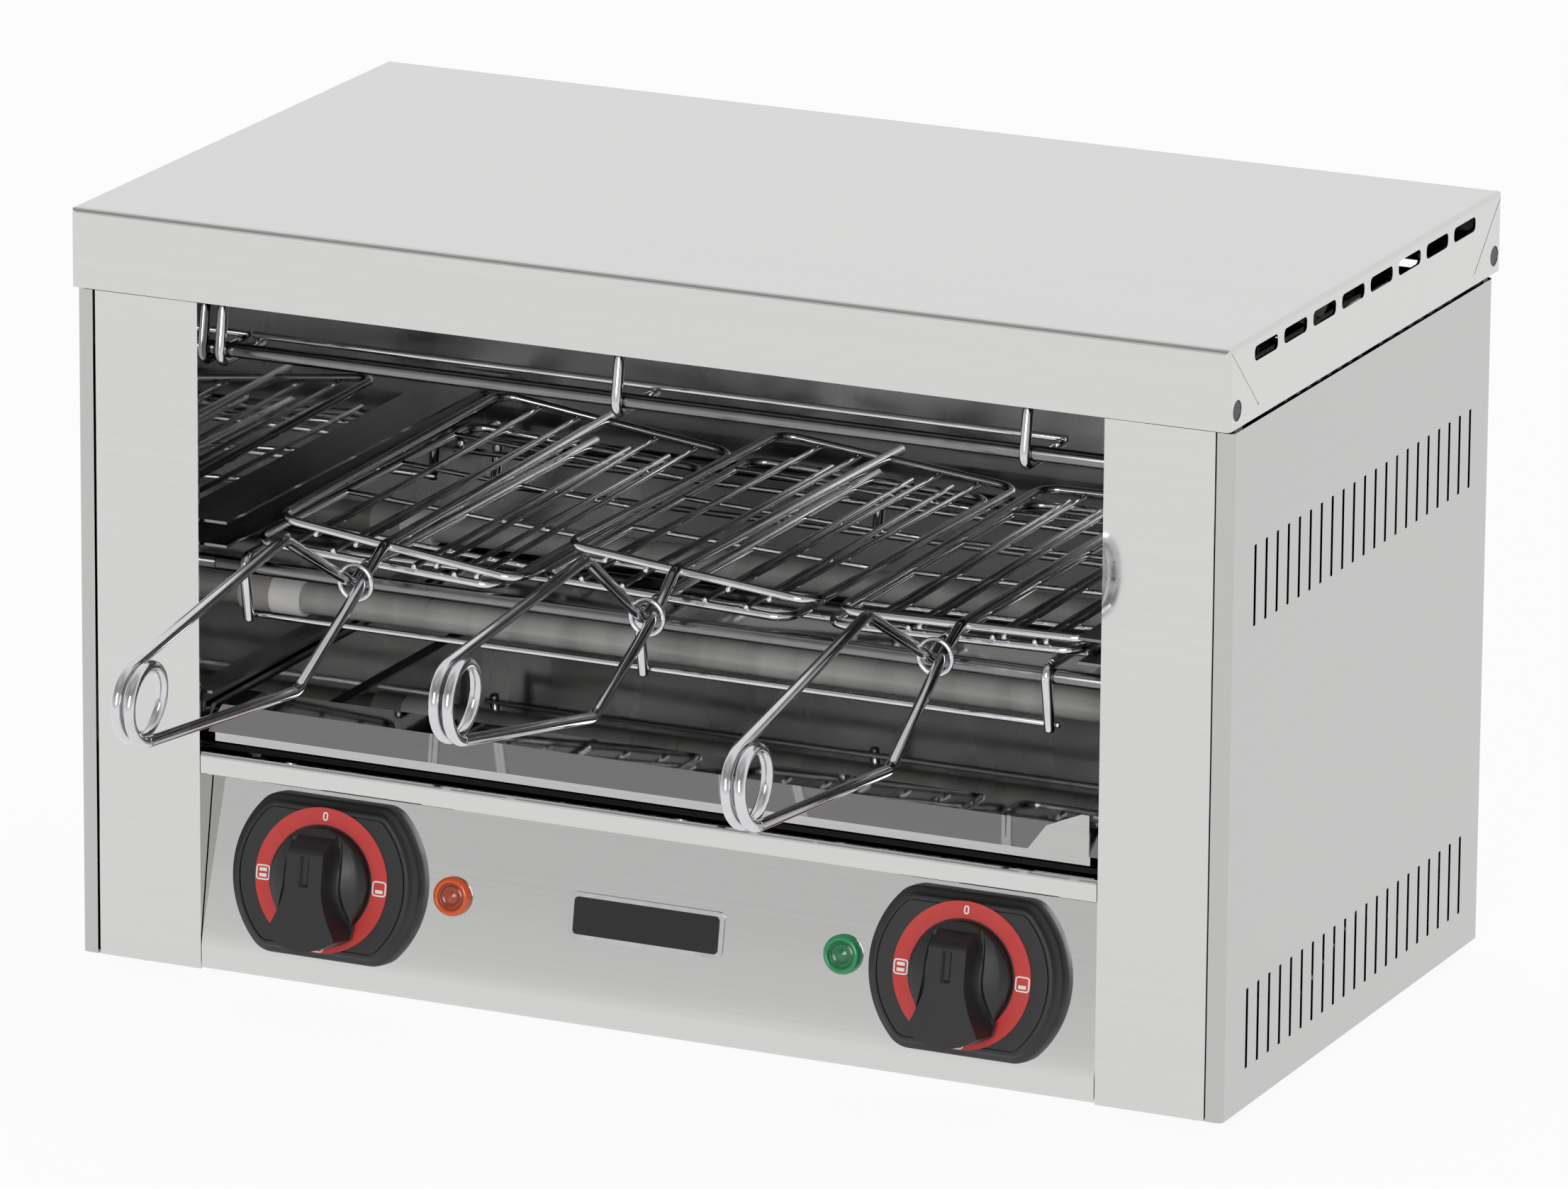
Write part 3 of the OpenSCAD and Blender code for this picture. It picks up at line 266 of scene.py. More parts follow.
# Fine bubbles drawn along the tube make it milky, in paler and darker bands under a clear gloss.
quartz, tree, where = start_material("milky fused quartz")
along = add(tree, "ShaderNodeVectorMath", {
    0: where, 1: (1 / (quartz_band * mm), quartz_across, quartz_across)}, operation="MULTIPLY")
band = add(tree, "ShaderNodeTexNoise", {"Vector": along.outputs["Vector"], "Scale": 1.0, "Detail": 2.0})
milk = add(tree, "ShaderNodeMixRGB", {
    "Fac": band.outputs["Fac"], "Color1": linear(quartz_dark), "Color2": linear(quartz_light)})
gloss = add(tree, "ShaderNodeMapRange", {
    "Value": band.outputs["Fac"], "From Min": noise_low, "From Max": noise_high,
    "To Min": quartz_gloss[0], "To Max": quartz_gloss[1]})
end_material(tree, Base_Color=milk.outputs["Color"], Roughness=gloss.outputs["Result"], IOR=1.46,
             Transmission_Weight=0.18, Coat_Weight=0.4, Coat_Roughness=0.15)
dress(quartz, "lower_front_tube", "lower_rear_tube", "upper_front_tube", "upper_rear_tube")

# Unglazed steatite is a chalky, matt white with a dry grain.
ceramic, tree, where = start_material("fired steatite")
grit = add(tree, "ShaderNodeTexNoise", {"Vector": where, "Scale": 1 / (ceramic_grain * mm), "Detail": 4.0})
fired = add(tree, "ShaderNodeMixRGB", {
    "Fac": grit.outputs["Fac"], "Color1": linear(ceramic_dark), "Color2": linear(ceramic_light)})
dry = add(tree, "ShaderNodeBump", {
    "Height": grit.outputs["Fac"], "Strength": 0.5, "Distance": ceramic_height * mm})
end_material(tree, Base_Color=fired.outputs["Color"], Roughness=ceramic_roughness,
             Normal=dry.outputs["Normal"])
dress(ceramic, "ceramic_caps", edge=ceramic_edge)


def drawn_metal(name, colour, roughness, blotch_size):
    """A plain metal with blotches, sized in millimetres, in its colour and gloss."""
    made, tree, where = start_material(name)
    blotch = add(tree, "ShaderNodeTexNoise", {
        "Vector": where, "Scale": 1 / (blotch_size * mm), "Detail": 3.0})
    bright = linear(colour)
    dull = [dulled * part for part in bright[:3]] + [1.0]
    tone = add(tree, "ShaderNodeMixRGB", {"Fac": blotch.outputs["Fac"], "Color1": dull, "Color2": bright})
    gloss = add(tree, "ShaderNodeMapRange", {
        "Value": blotch.outputs["Fac"], "From Min": noise_low, "From Max": noise_high,
        "To Min": roughness * metal_gloss[0], "To Max": roughness * metal_gloss[1]})
    end_material(tree, Base_Color=tone.outputs["Color"], Metallic=1.0, Roughness=gloss.outputs["Result"])
    return made


# Oxide leaves the resistance wire a brownish grey with hardly a shine.
dress(drawn_metal("oxidised resistance wire", coil_metal, coil_roughness, coil_blotch), "heating_coils")
# Turned brass has a warm, soft shine.
dress(drawn_metal("turned brass", brass_colour, brass_roughness, brass_blotch), "tube_terminals")


# Guards: four welded wire guards that keep the tongs off the tubes.
# Bright chromed steel wire, bent over a thick drawn rod that is held in the chamber walls,
# with two thin wires welded along the bent ones.
chrome_light = "#E2E2E4"
chrome_dark = "#C6C6C9"
chrome_gloss = (0.07, 0.15)
chrome_film = 9
# The marks of the drawing are finer than this, and are drawn coarser so that they show.
pull_size, pull_height = 1.4, 0.004
rod_colour = "#8E8E90"
rod_roughness, rod_blotch = 0.16, 7.0
rod_d = 5.5
hook_d = 4.0
thin_d = 2.5
weld_sink = 0.5
rod_reach = 184
front_rod, rear_rod = 22.5, 220.9
low_rod, high_rod = 148.6, 228.5
hook_pitch = 157.5
low_shift, high_shift = -7.5, -17.0
level_leg = 29
upright_leg = 20
leg_lean = 10
thin_past = 3
thin_inset = 2
hook_steps = 12
rod_sides, wire_sides, thin_sides = 20, 16, 12
# A wire's domed end, as steps in from the tip and widths, both as shares of the wire's radius.
wire_dome = ((0.0, 0.35), (0.08, 0.66), (0.25, 0.88), (0.6, 1.0))
# The most of a leg that a bend may take up.
bend_share = 0.48

# Bench frame: millimetres, with the cover's front face at Y 0 and the panels' lower edge at Z 0.
bench = (Matrix.Translation((0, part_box("top_cover")[0].y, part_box("right_side_panel")[0].z))
         @ Matrix.Scale(mm, 4))

# Chrome plate is a hard, bright mirror in which each wire shows a thin white line and a dark one,
# broken by faint marks of the drawing.
chrome, tree, where = start_material("bright chromed steel wire")
film = add(tree, "ShaderNodeTexNoise", {"Vector": where, "Scale": 1 / (chrome_film * mm), "Detail": 4.0})
pull = add(tree, "ShaderNodeTexNoise", {"Vector": where, "Scale": 1 / (pull_size * mm), "Detail": 2.0})
tone = add(tree, "ShaderNodeMixRGB", {
    "Fac": film.outputs["Fac"], "Color1": linear(chrome_dark), "Color2": linear(chrome_light)})
gloss = add(tree, "ShaderNodeMapRange", {
    "Value": film.outputs["Fac"], "From Min": noise_low, "From Max": noise_high,
    "To Min": chrome_gloss[0], "To Max": chrome_gloss[1]})
draw_marks = add(tree, "ShaderNodeBump", {
    "Height": pull.outputs["Fac"], "Strength": 0.5, "Distance": pull_height * mm})
end_material(tree, Base_Color=tone.outputs["Color"], Metallic=1.0,
             Roughness=gloss.outputs["Result"], Normal=draw_marks.outputs["Normal"])


def skin(bm, rings, closed=False):
    """Joins rings of points, all of one count, into a skin; open ends are capped."""
    loops = [[bm.verts.new(point) for point in ring] for ring in rings]
    pairs = list(zip(loops, loops[1:]))
    if closed:
        pairs.append((loops[-1], loops[0]))
    for low, high in pairs:
        for i in range(len(low)):
            j = (i + 1) % len(low)
            bm.faces.new((low[i], low[j], high[j], high[i]))
    if not closed:
        bm.faces.new(loops[0][::-1])
        bm.faces.new(loops[-1])


def wire(bm, path, diameter, sides=wire_sides, closed=False):
    """Sweeps a round wire along a path; the ends of an open wire are domed."""
    radius = diameter / 2
    last = len(path) - 1
    rings = []
    side = None
    for i, point in enumerate(path):
        before = path[i - 1] if i or closed else point
        after = path[(i + 1) % len(path)] if i < last or closed else point
        along = (after - before).normalized()
        side = along.orthogonal() if side is None else side
        side = (side - along * side.dot(along)).normalized()
        turn = [side * math.cos(a) + along.cross(side) * math.sin(a)
                for a in (math.tau * k / sides for k in range(sides))]
        stations = [(0.0, 1.0)]
        if not closed and i == 0:
            stations = wire_dome
        if not closed and i == last:
            stations = [(-shift, share) for shift, share in reversed(wire_dome)]
        for shift, share in stations:
            rings.append([point + along * shift * radius + way * radius * share for way in turn])
    skin(bm, rings, closed)


def bent(points, radius, steps=7):
    """The line through the points with its corners bent to a radius, as far as the legs allow."""
    line = [points[0]]
    for before, here, after in zip(points, points[1:], points[2:]):
        back, on = before - here, after - here
        half = back.angle(on) / 2
        reach = min(radius / math.tan(half), bend_share * back.length, bend_share * on.length)
        centre = here + (back.normalized() + on.normalized()).normalized() * (reach / math.cos(half))
        start = here + back.normalized() * reach - centre
        end = here + on.normalized() * reach - centre
        line += [centre + start.slerp(end, k / steps) * start.length for k in range(steps + 1)]
    return line + [points[-1]]


def piece(name, bm, place, finish, body, slot, *replaced, sharp=None):
    """Turns a mesh in millimetres into a piece that rides on a body and stands for CAD nodes."""
    bm.transform(place)
    bmesh.ops.recalc_face_normals(bm, faces=bm.faces[:])
    mesh = bpy.data.meshes.new(name)
    bm.to_mesh(mesh)
    bm.free()
    mesh.shade_smooth()
    if sharp:
        mesh.set_sharp_from_angle(angle=math.radians(sharp))
    mesh.materials.append(finish)
    made = bpy.data.objects.new(name, mesh)
    bpy.context.scene.collection.objects.link(made)
    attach(made, body)
    if replaced:
        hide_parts(*replaced)
    return made


def straight(bm, start, end, diameter, sides=wire_sides):
    """A straight wire with domed ends."""
    wire(bm, [Vector(start), Vector(end)], diameter, sides)


# The drawn rod is greyer than the plated wires, with a softer shine.
rod_steel = drawn_metal("drawn stainless steel rod", rod_colour, rod_roughness, rod_blotch)
wrap = (rod_d + hook_d) / 2 - weld_sink
hold = (hook_d + thin_d) / 2 - weld_sink
lean = math.radians(leg_lean)
down = Vector((0, math.sin(lean), -math.cos(lean)))
inward = Vector((0, math.cos(lean), math.sin(lean)))
tip = down * upright_leg - inward * wrap
for row, rod_z, shift, flip in (("lower", low_rod, low_shift, 1), ("upper", high_rod, high_shift, -1)):
    for end, rod_y, turned in (("front", front_rod, 1), ("rear", rear_rod, -1)):
        bm = bmesh.new()
        straight(bm, (-rod_reach, 0, 0), (rod_reach, 0, 0), rod_d, rod_sides)
        rod_faces = len(bm.faces)
        arc = [math.radians(90 + (90 + leg_lean) * k / hook_steps) for k in range(hook_steps + 1)]
        for i in (-1, 0, 1):
            across = Vector((shift + i * hook_pitch, 0, 0))
            hook = [Vector((0, math.cos(a), math.sin(a))) * wrap for a in arc]
            wire(bm, [across + p for p in [Vector((0, level_leg, wrap))] + hook + [tip]], hook_d)
        far = hook_pitch + thin_past
        outer_weld = tip - down * thin_inset + inward * hold
        inner_weld = Vector((0, level_leg - thin_inset, wrap - hold))
        for spot in (outer_weld, inner_weld):
            straight(bm, (shift - far, spot.y, spot.z), (shift + far, spot.y, spot.z), thin_d, thin_sides)
        place = bench @ Matrix.Translation((0, rod_y, rod_z)) @ Matrix.Diagonal((1, turned, flip, 1))
        name = f"{row}_{end}_guard"
        guard = piece(f"{name}_wires", bm, place, chrome, "root", "chromed_wire", name).data
        guard.materials.append(rod_steel)
        of_rod = [int(i < rod_faces) for i in range(len(guard.polygons))]
        guard.polygons.foreach_set("material_index", of_rod)


# Tongs: three sprung toast tongs, each with a lower jaw, an upper jaw and a ring sliding on the handle.
# Chromed spring wire is wound into a coil at the handle's end, crosses itself at the ring,
# and runs on as the spines, to which the welded wire grids are welded.
spring_d = 4.2
frame_d = 3.2
bar_d = 2.2
cross_d = 2.0
crossing = 2.55
handle_length = 148
coil_radius = 13.2
coil_gap = 0.9
coil_steps = 40
peak = Vector((-crossing, -48, 30))
low_bend = Vector((crossing, -45, -27))
neck_bend = 9
grid_width = 97
grid_corner = 8
corner_steps = 8
bar_past, bar_end = 2, 1
lower_front, lower_length, lower_z, lower_spine, lower_past = 20, 176, 1.5, 2.5, 6.5
lower_cross = (0.16, 0.41, 0.66, 0.91)
lower_dip = Vector((-crossing, 3.5, -2.2))
lower_knee = Vector((-crossing, 12, lower_spine))
upper_front, upper_length, upper_drop, upper_past = 18.5, 180, 0.5, 13
knee_y = 16.5
bar_side = 2.2
cross_side = 0.4
ring_radius, ring_d = 6.4, 1.8
ring_points = 40
# The upper jaw's wire runs on a little way inside the coil, a hair thinner, where the one wire was parted.
tuck = 0.012
tuck_points = 4
tuck_share = 0.985
# How each tong lies: its roll, its handle's lift and yaw, then its upper grid's rise, roll, pitch, shift.
tong_lie = ((3.2, -2.7, -2.9, 10.0, 3.6, 0.85, 4.7), (2.0, 3.2, -0.5, 13.5, 3.5, -1.0, 4.7),
            (-1.2, -2.8, -0.9, 7.6, 0.3, 0.0, 0.0))


def coil_angle(corner, side):
    """Where the straight wire from a corner touches the coil, in radians round the coil."""
    level = corner.y + handle_length
    return math.atan2(corner.z, level) + side * math.acos(coil_radius / math.hypot(level, corner.z))


coil_from = coil_angle(low_bend, -1)
coil_sweep = coil_from - coil_angle(peak, 1) + 2 * math.tau
coil_spread = (spring_d + coil_gap) * coil_sweep / (2 * math.tau)


def coil_at(share):
    """A point along the coil, from the upper jaw's end at 0 to the lower jaw's end at 1."""
    angle = coil_from - coil_sweep * share
    return Vector((coil_spread * (1 - 2 * share), coil_radius * math.cos(angle) - handle_length,
                   coil_radius * math.sin(angle)))


def grid(bm, place, length, cross_at, side):
    """A welded grid: a round cornered frame, four long bars on one side, and cross wires where given."""
    made = bmesh.new()
    half, corner = grid_width / 2, grid_corner
    outline = []
    for x, y, start in ((half - corner, corner, -90), (half - corner, length - corner, 0),
                        (corner - half, length - corner, 90), (corner - half, corner, 180)):
        turn = [math.radians(start + 90 * k / corner_steps) for k in range(corner_steps + 1)]
        outline += [Vector((x + corner * math.cos(a), y + corner * math.sin(a), 0)) for a in turn]
    wire(made, outline, frame_d, closed=True)
    for sixth in (-2, -1, 1, 2):
        x = sixth * grid_width / 6
        level = side * bar_side
        straight(made, (x, -bar_past, level), (x, length + bar_end, level), bar_d, thin_sides)
    for share in cross_at:
        y = length * share
        level = side * cross_side
        straight(made, (-half, y, level), (half, y, level), cross_d, thin_sides)
    made.transform(place)
    spare = bpy.data.meshes.new("grid")
    made.to_mesh(spare)
    made.free()
    bm.from_mesh(spare)
    bpy.data.meshes.remove(spare)


for k, (roll, lift, yaw, rise, upper_roll, pitch, shift) in enumerate(tong_lie, 1):
    low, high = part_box(f"tong_{k}_ring")
    place = (Matrix.Translation((low + high) / 2) @ Matrix.Rotation(math.radians(roll), 4, "Y")
             @ Matrix.Scale(mm, 4))
    handle = Matrix.Rotation(math.radians(yaw), 4, "Z") @ Matrix.Rotation(math.radians(-lift), 4, "X")

    bm = bmesh.new()
    coil = [handle @ coil_at(i / (2 * coil_steps)) for i in range(2 * coil_steps)]
    neck = [handle @ coil_at(1), handle @ peak, Vector((-crossing, 0, 0)), lower_dip, lower_knee,
            Vector((-crossing, lower_front + lower_length + lower_past, lower_spine))]
    wire(bm, coil + bent(neck, neck_bend), spring_d)
    grid(bm, Matrix.Translation((-crossing, lower_front, lower_z)), lower_length, lower_cross, 1)
    piece(f"tong_{k}_lower_wires", bm, place, chrome, f"tong_{k}", "chromed_wire", f"tong_{k}_lower_jaw")

    bm = bmesh.new()
    knee = Vector((crossing, knee_y, rise))
    weld_y = upper_front - knee_y
    tilted = Matrix.Translation(knee) @ Matrix.Rotation(math.radians(pitch), 4, "X")
    neck = [handle @ coil_at(0), handle @ low_bend, Vector((crossing, 0, 0)), knee,
            tilted @ Vector((0, weld_y + upper_length + upper_past, 0))]
    tucked = [handle @ coil_at(tuck * (1 - i / tuck_points)) for i in range(tuck_points)]
    wire(bm, tucked + bent(neck, neck_bend), spring_d * tuck_share)
    hung = (tilted @ Matrix.Rotation(math.radians(upper_roll), 4, "Y")
            @ Matrix.Translation((shift, weld_y, -upper_drop)))
    grid(bm, hung, upper_length, (), -1)
    piece(f"tong_{k}_upper_wires", bm, place, chrome, f"tong_{k}_upper", "chromed_wire",
          f"tong_{k}_upper_jaw")

    bm = bmesh.new()
    turn = [math.tau * i / ring_points for i in range(ring_points)]
    loop = [Vector((math.cos(a), 0, math.sin(a))) * ring_radius for a in turn]
    wire(bm, loop, ring_d, thin_sides, closed=True)
    piece(f"tong_{k}_ring_wire", bm, place, chrome, f"tong_{k}_slider", "chromed_wire", f"tong_{k}_ring")


# Bezels: the raised moulded seat round each knob, with a seam round its face.
# Black glass filled nylon, moulded with a fine spark texture and clipped through the panel.
front_face = 4.4
lip_low = 9.0
face_rise, face_recess = 64.8, 10.9
control_height = 31.3
knob_sides = (("left", -126.2), ("right", 126.2))
bezel_width, bezel_height = 75.5, 58.5
bezel_corner, least_corner = 10.0, 1.0
bezel_bore = 6.2
arc_steps, bend_steps, flat_steps = 14, 9, 4
# The bezel's section, as inset and rise: wall, shoulder, rim, seam and face.
bezel_section = ((0, 0), (0.1, 3.6), (0.4, 4.5), (1.0, 5.0), (2.1, 5.5), (2.7, 6.3), (3.0, 7.0), (3.4, 7.4),
                 (4.0, 7.5), (4.5, 7.5), (4.6, 6.8), (5.0, 6.8), (5.1, 7.5), (6.0, 7.5), (10.0, 7.5))
nylon_light = "#2A2A2B"
nylon_dark = "#1C1C1D"
nylon_roughness = 0.5
nylon_deep = 0.03
# Spark texture is about a tenth of a millimetre; it is drawn coarser so that it shows.
spark_grain = 0.35
handled_size, handled_gloss = 12, 0.06

# Control face frame: millimetres, X to the right, Y up the sloping face and Z out of it.
face_tilt = math.atan2(face_recess, face_rise)
face = bench @ Matrix.Translation((0, front_face, lip_low)) @ Matrix.Rotation(math.pi / 2 - face_tilt, 4, "X")


def moulded(name, light, dark, roughness, grain_size, grain_deep):
    """A moulded surface with an even texture, paler on its high spots, and a gloss that drifts slowly."""
    made, tree, where = start_material(name)
    spark = add(tree, "ShaderNodeTexNoise", {"Vector": where, "Scale": 1 / (grain_size * mm), "Detail": 3.0})
    handled = add(tree, "ShaderNodeTexNoise", {
        "Vector": where, "Scale": 1 / (handled_size * mm), "Detail": 2.0})
    tone = add(tree, "ShaderNodeMixRGB", {
        "Fac": spark.outputs["Fac"], "Color1": linear(dark), "Color2": linear(light)})
    gloss = add(tree, "ShaderNodeMapRange", {
        "Value": handled.outputs["Fac"], "From Min": noise_low, "From Max": noise_high,
        "To Min": roughness - handled_gloss, "To Max": roughness + handled_gloss})
    rough = add(tree, "ShaderNodeBump", {
        "Height": spark.outputs["Fac"], "Strength": 0.7, "Distance": grain_deep * mm})
    end_material(tree, Base_Color=tone.outputs["Color"], Roughness=gloss.outputs["Result"], IOR=1.5,
                 Normal=rough.outputs["Normal"])
    return made


def cut_round(inset, rise):
    """A ring of the bezel's outline, a circle cut level above and below, drawn in and raised."""
    radius = bezel_width / 2 - inset
    half = bezel_height / 2 - inset
    corner = max(bezel_corner - inset, least_corner)
    swing = math.asin((half - corner) / (radius - corner))
    middle = Vector(((radius - corner) * math.cos(swing), half - corner, 0))
    quarter = [Vector((math.cos(a), math.sin(a), 0)) * radius
               for a in (swing * i / arc_steps for i in range(arc_steps))]
    quarter += [middle + Vector((math.cos(a), math.sin(a), 0)) * corner
                for a in (swing + (math.pi / 2 - swing) * i / bend_steps for i in range(bend_steps + 1))]
    quarter += [Vector((middle.x * i / flat_steps, half, 0)) for i in range(flat_steps - 1, 0, -1)]
    ring = quarter + [Vector((-p.x, p.y, 0)) for p in [Vector((0, half, 0))] + quarter[:0:-1]]
    ring += [Vector((-p.x, -p.y, 0)) for p in quarter]
    ring += [Vector((p.x, -p.y, 0)) for p in [Vector((0, half, 0))] + quarter[:0:-1]]
    return [p + Vector((0, 0, rise)) for p in ring]


# Spark textured nylon is a soft, even black that lifts to grey where the light grazes it.
nylon = moulded("moulded black nylon", nylon_light, nylon_dark, nylon_roughness, spark_grain, nylon_deep)
for side, x in knob_sides:
    bm = bmesh.new()
    rings = [cut_round(inset, rise) for inset, rise in bezel_section]
    bore = [p.normalized() * bezel_bore for p in cut_round(0, 0)]
    rings += [[p + Vector((0, 0, rise)) for p in bore] for rise in (bezel_section[-1][1], 0)]
    skin(bm, rings, closed=True)
    place = face @ Matrix.Translation((x, control_height, 0))
    piece(f"{side}_bezel_moulding", bm, place, nylon, "root", "black_plastic", f"{side}_bezel", sharp=38)


# Dials: a red printed ring on each bezel with the marks of the four switch positions.
# Screen printed polyester film; the marks are white ink: off, lower tubes, both pairs and upper tubes.
print_red = "#C6302D"
print_red_worn = "#CE4541"
film_roughness = 0.42
ink_light = "#F4F2EF"
ink_dark = "#E6E3DF"
ink_roughness = 0.5
# The print's screen is finer than this, and is drawn coarser so that it shows.
print_grain, print_height = 0.5, 0.01
rub_size = 16
dial_top = 8.0
dial_middle = 23.4
ink = 0.08
mark_box = 5.6
mark_round = 1.3
mark_line = 0.55
mark_bar = (3.0, 1.25)
mark_step = 1.05
zero_width, zero_height, zero_corner = 2.0, 3.2, 0.98
bar_corner, inner_corner = 0.15, 0.05
# Each boxed mark: its angle round the dial, and whether its bars lie low, high or both.
dial_marks = ((0, (-1,)), (180, (-1, 1)), (270, (1,)))

# Printed film is a flat, even red with a low sheen, a little paler where it has been rubbed.
red_film, tree, where = start_material("red screen printed film")
weave = add(tree, "ShaderNodeTexNoise", {"Vector": where, "Scale": 1 / (print_grain * mm), "Detail": 2.0})
rub = add(tree, "ShaderNodeTexNoise", {"Vector": where, "Scale": 1 / (rub_size * mm), "Detail": 3.0})
tone = add(tree, "ShaderNodeMixRGB", {
    "Fac": rub.outputs["Fac"], "Color1": linear(print_red), "Color2": linear(print_red_worn)})
film = add(tree, "ShaderNodeBump", {
    "Height": weave.outputs["Fac"], "Strength": 0.4, "Distance": print_height * mm})
end_material(tree, Base_Color=tone.outputs["Color"], Roughness=film_roughness, Normal=film.outputs["Normal"])
dress(red_film, "left_dial_ring", "right_dial_ring")

# Screen ink stands a little proud of the film, and is a flat, warm white.
white_ink, tree, where = start_material("white screen ink")
weave = add(tree, "ShaderNodeTexNoise", {"Vector": where, "Scale": 1 / (print_grain * mm), "Detail": 2.0})
tone = add(tree, "ShaderNodeMixRGB", {
    "Fac": weave.outputs["Fac"], "Color1": linear(ink_dark), "Color2": linear(ink_light)})
end_material(tree, Base_Color=tone.outputs["Color"], Roughness=ink_roughness)


def outline_of(width, height, corner, steps=6):
    """A rectangle with round corners about the origin, anticlockwise."""
    points = []
    for sx, sy, start in ((1, -1, -90), (1, 1, 0), (-1, 1, 90), (-1, -1, 180)):
        for k in range(steps + 1):
            a = math.radians(start + 90 * k / steps)
            points.append(Vector((sx * (width / 2 - corner) + corner * math.cos(a),
                                  sy * (height / 2 - corner) + corner * math.sin(a), 0)))
    return points


def printed_line(bm, at, width, height, corner, line):
    """A raised line of ink along the inside of a round cornered outline."""
    outer = outline_of(width, height, corner)
    inner = outline_of(width - 2 * line, height - 2 * line, max(corner - line, inner_corner))
    up = Vector((0, 0, ink))
    skin(bm, [[at + p for p in outer], [at + p + up for p in outer],
              [at + p + up for p in inner], [at + p for p in inner]], closed=True)


def printed_bar(bm, at, width, height):
    """A solid bar of ink."""
    outer = outline_of(width, height, bar_corner)
    skin(bm, [[at + p for p in outer], [at + p + Vector((0, 0, ink)) for p in outer]])


for side, x in knob_sides:
    bm = bmesh.new()
    printed_line(bm, Vector((0, dial_middle, 0)), zero_width, zero_height, zero_corner, mark_line)
    for angle, bars in dial_marks:
        a = math.radians(angle)
        at = Vector((math.cos(a), math.sin(a), 0)) * dial_middle
        printed_line(bm, at, mark_box, mark_box, mark_round, mark_line)
        for step in bars:
            printed_bar(bm, at + Vector((0, step * mark_step, 0)), *mark_bar)
    place = face @ Matrix.Translation((x, control_height, dial_top))
    piece(f"{side}_dial_marks", bm, place, white_ink, "root", None, sharp=40)


# Knobs: a round skirt and a grip with a sloping nose, a pointer groove and a flared, overhanging foot.
# Black phenolic compound, compression moulded, pushed on to the flatted, zinc plated steel spindle of
# a rotary switch, whose body is moulded in cream phenolic.
knob_lift = 8.3
skirt_radius, skirt_height = 19.4, 3.7
skirt_crown, skirt_round = 5.5, 1.0
grip_height = 14.2
nose_foot, nose_lip = 17.0, 11.0
grip_half = 7.2
flare_radius, flare_from, flare_half = 24.3, -19.5, 14.3
scoop_half, scoop_foot, scoop_end = 11.5, 15.6, -14.5
scoop_dip, scoop_close = 1.4, 2.6
scoop_full_rise, scoop_full_width = 8, 3
flare_curve, scoop_curve, nose_curve = 1.7, 1.5, 1.6
skirt_rim = 1.5
foot_radius = 20.0
groove_half, groove_deep, groove_end = 1.0, 1.1, -1.0
groove_wall = 0.9
groove_from = nose_lip - 0.8
row_gap = 0.3
least_square = 0.04
skirt_steps, flank_steps = 5, 8
crest_share = 0.6
knob_edge = 0.5
knob_joined_within = 0.01
# Where the rows of the knob's top lie, from its nose to its foot: closest where it curves.
knob_levels = ([skirt_radius - d for d in (0.1, 0.4, 1.0, 1.6, 2.1)]
               + [nose_foot - 0.5 * i for i in range(12)]
               + [nose_lip - d for d in (0, 0.3, 0.7, 0.95)] + [9, 7, 5, 3, 1, groove_end + groove_wall]
               + [groove_end, -3, -5, -7, -9, -11, -13, scoop_end, -16, -17.5, flare_from]
               + [-20.5, -21.5, -22.5, -23.3, -23.9, -24.25])
phenolic_light = "#242425"
phenolic_dark = "#171718"
phenolic_roughness, phenolic_deep = 0.42, 0.02
spindle_colour = "#A9A8A4"
spindle_roughness, spindle_blotch = 0.32, 3.0
switch_light = "#D2C6AE"
switch_dark = "#C2B59C"
# The compound's grain is finer than this, and is drawn coarser so that it shows.
switch_roughness, switch_grain, switch_deep = 0.5, 0.6, 0.02


def half_chord(radius, v):
    """Half the width of a circle at a distance from its middle, and never quite nothing."""
    return math.sqrt(max(radius ** 2 - v ** 2, least_square))


def grip_top_half(v):
    """Half the width of the grip's top, which narrows to its waist and flares at the foot."""
    if v > 0:
        return grip_half
    if v > flare_from:
        return grip_half + (flare_half - grip_half) * (v / flare_from) ** flare_curve
    return half_chord(flare_radius, v)


def grip_foot_half(v):
    """Half the width where the scooped flank runs out on the skirt."""
    if v > 0:
        return scoop_half - scoop_close * (v / nose_foot) ** 3
    if v > scoop_end:
        return scoop_half + (scoop_foot - scoop_half) * (v / scoop_end) ** scoop_curve
    if v > flare_from:
        run_out = (v - scoop_end) / (flare_from - scoop_end)
        return max(scoop_foot + (flare_half - scoop_foot) * run_out, grip_top_half(v))
    return grip_top_half(v)


def skirt_rise(u, v):
    """Height of the skirt's dome."""
    return max(skirt_height + skirt_crown * (1 - (u * u + v * v) / skirt_radius ** 2), skirt_rim)


def grip_rise(v):
    """Height of the grip along its length: level, then falling over the nose."""
    fall = min(max((v - nose_lip) / (nose_foot - nose_lip), 0.0), 1.0)
    return grip_height - (grip_height - skirt_height) * fall ** nose_curve


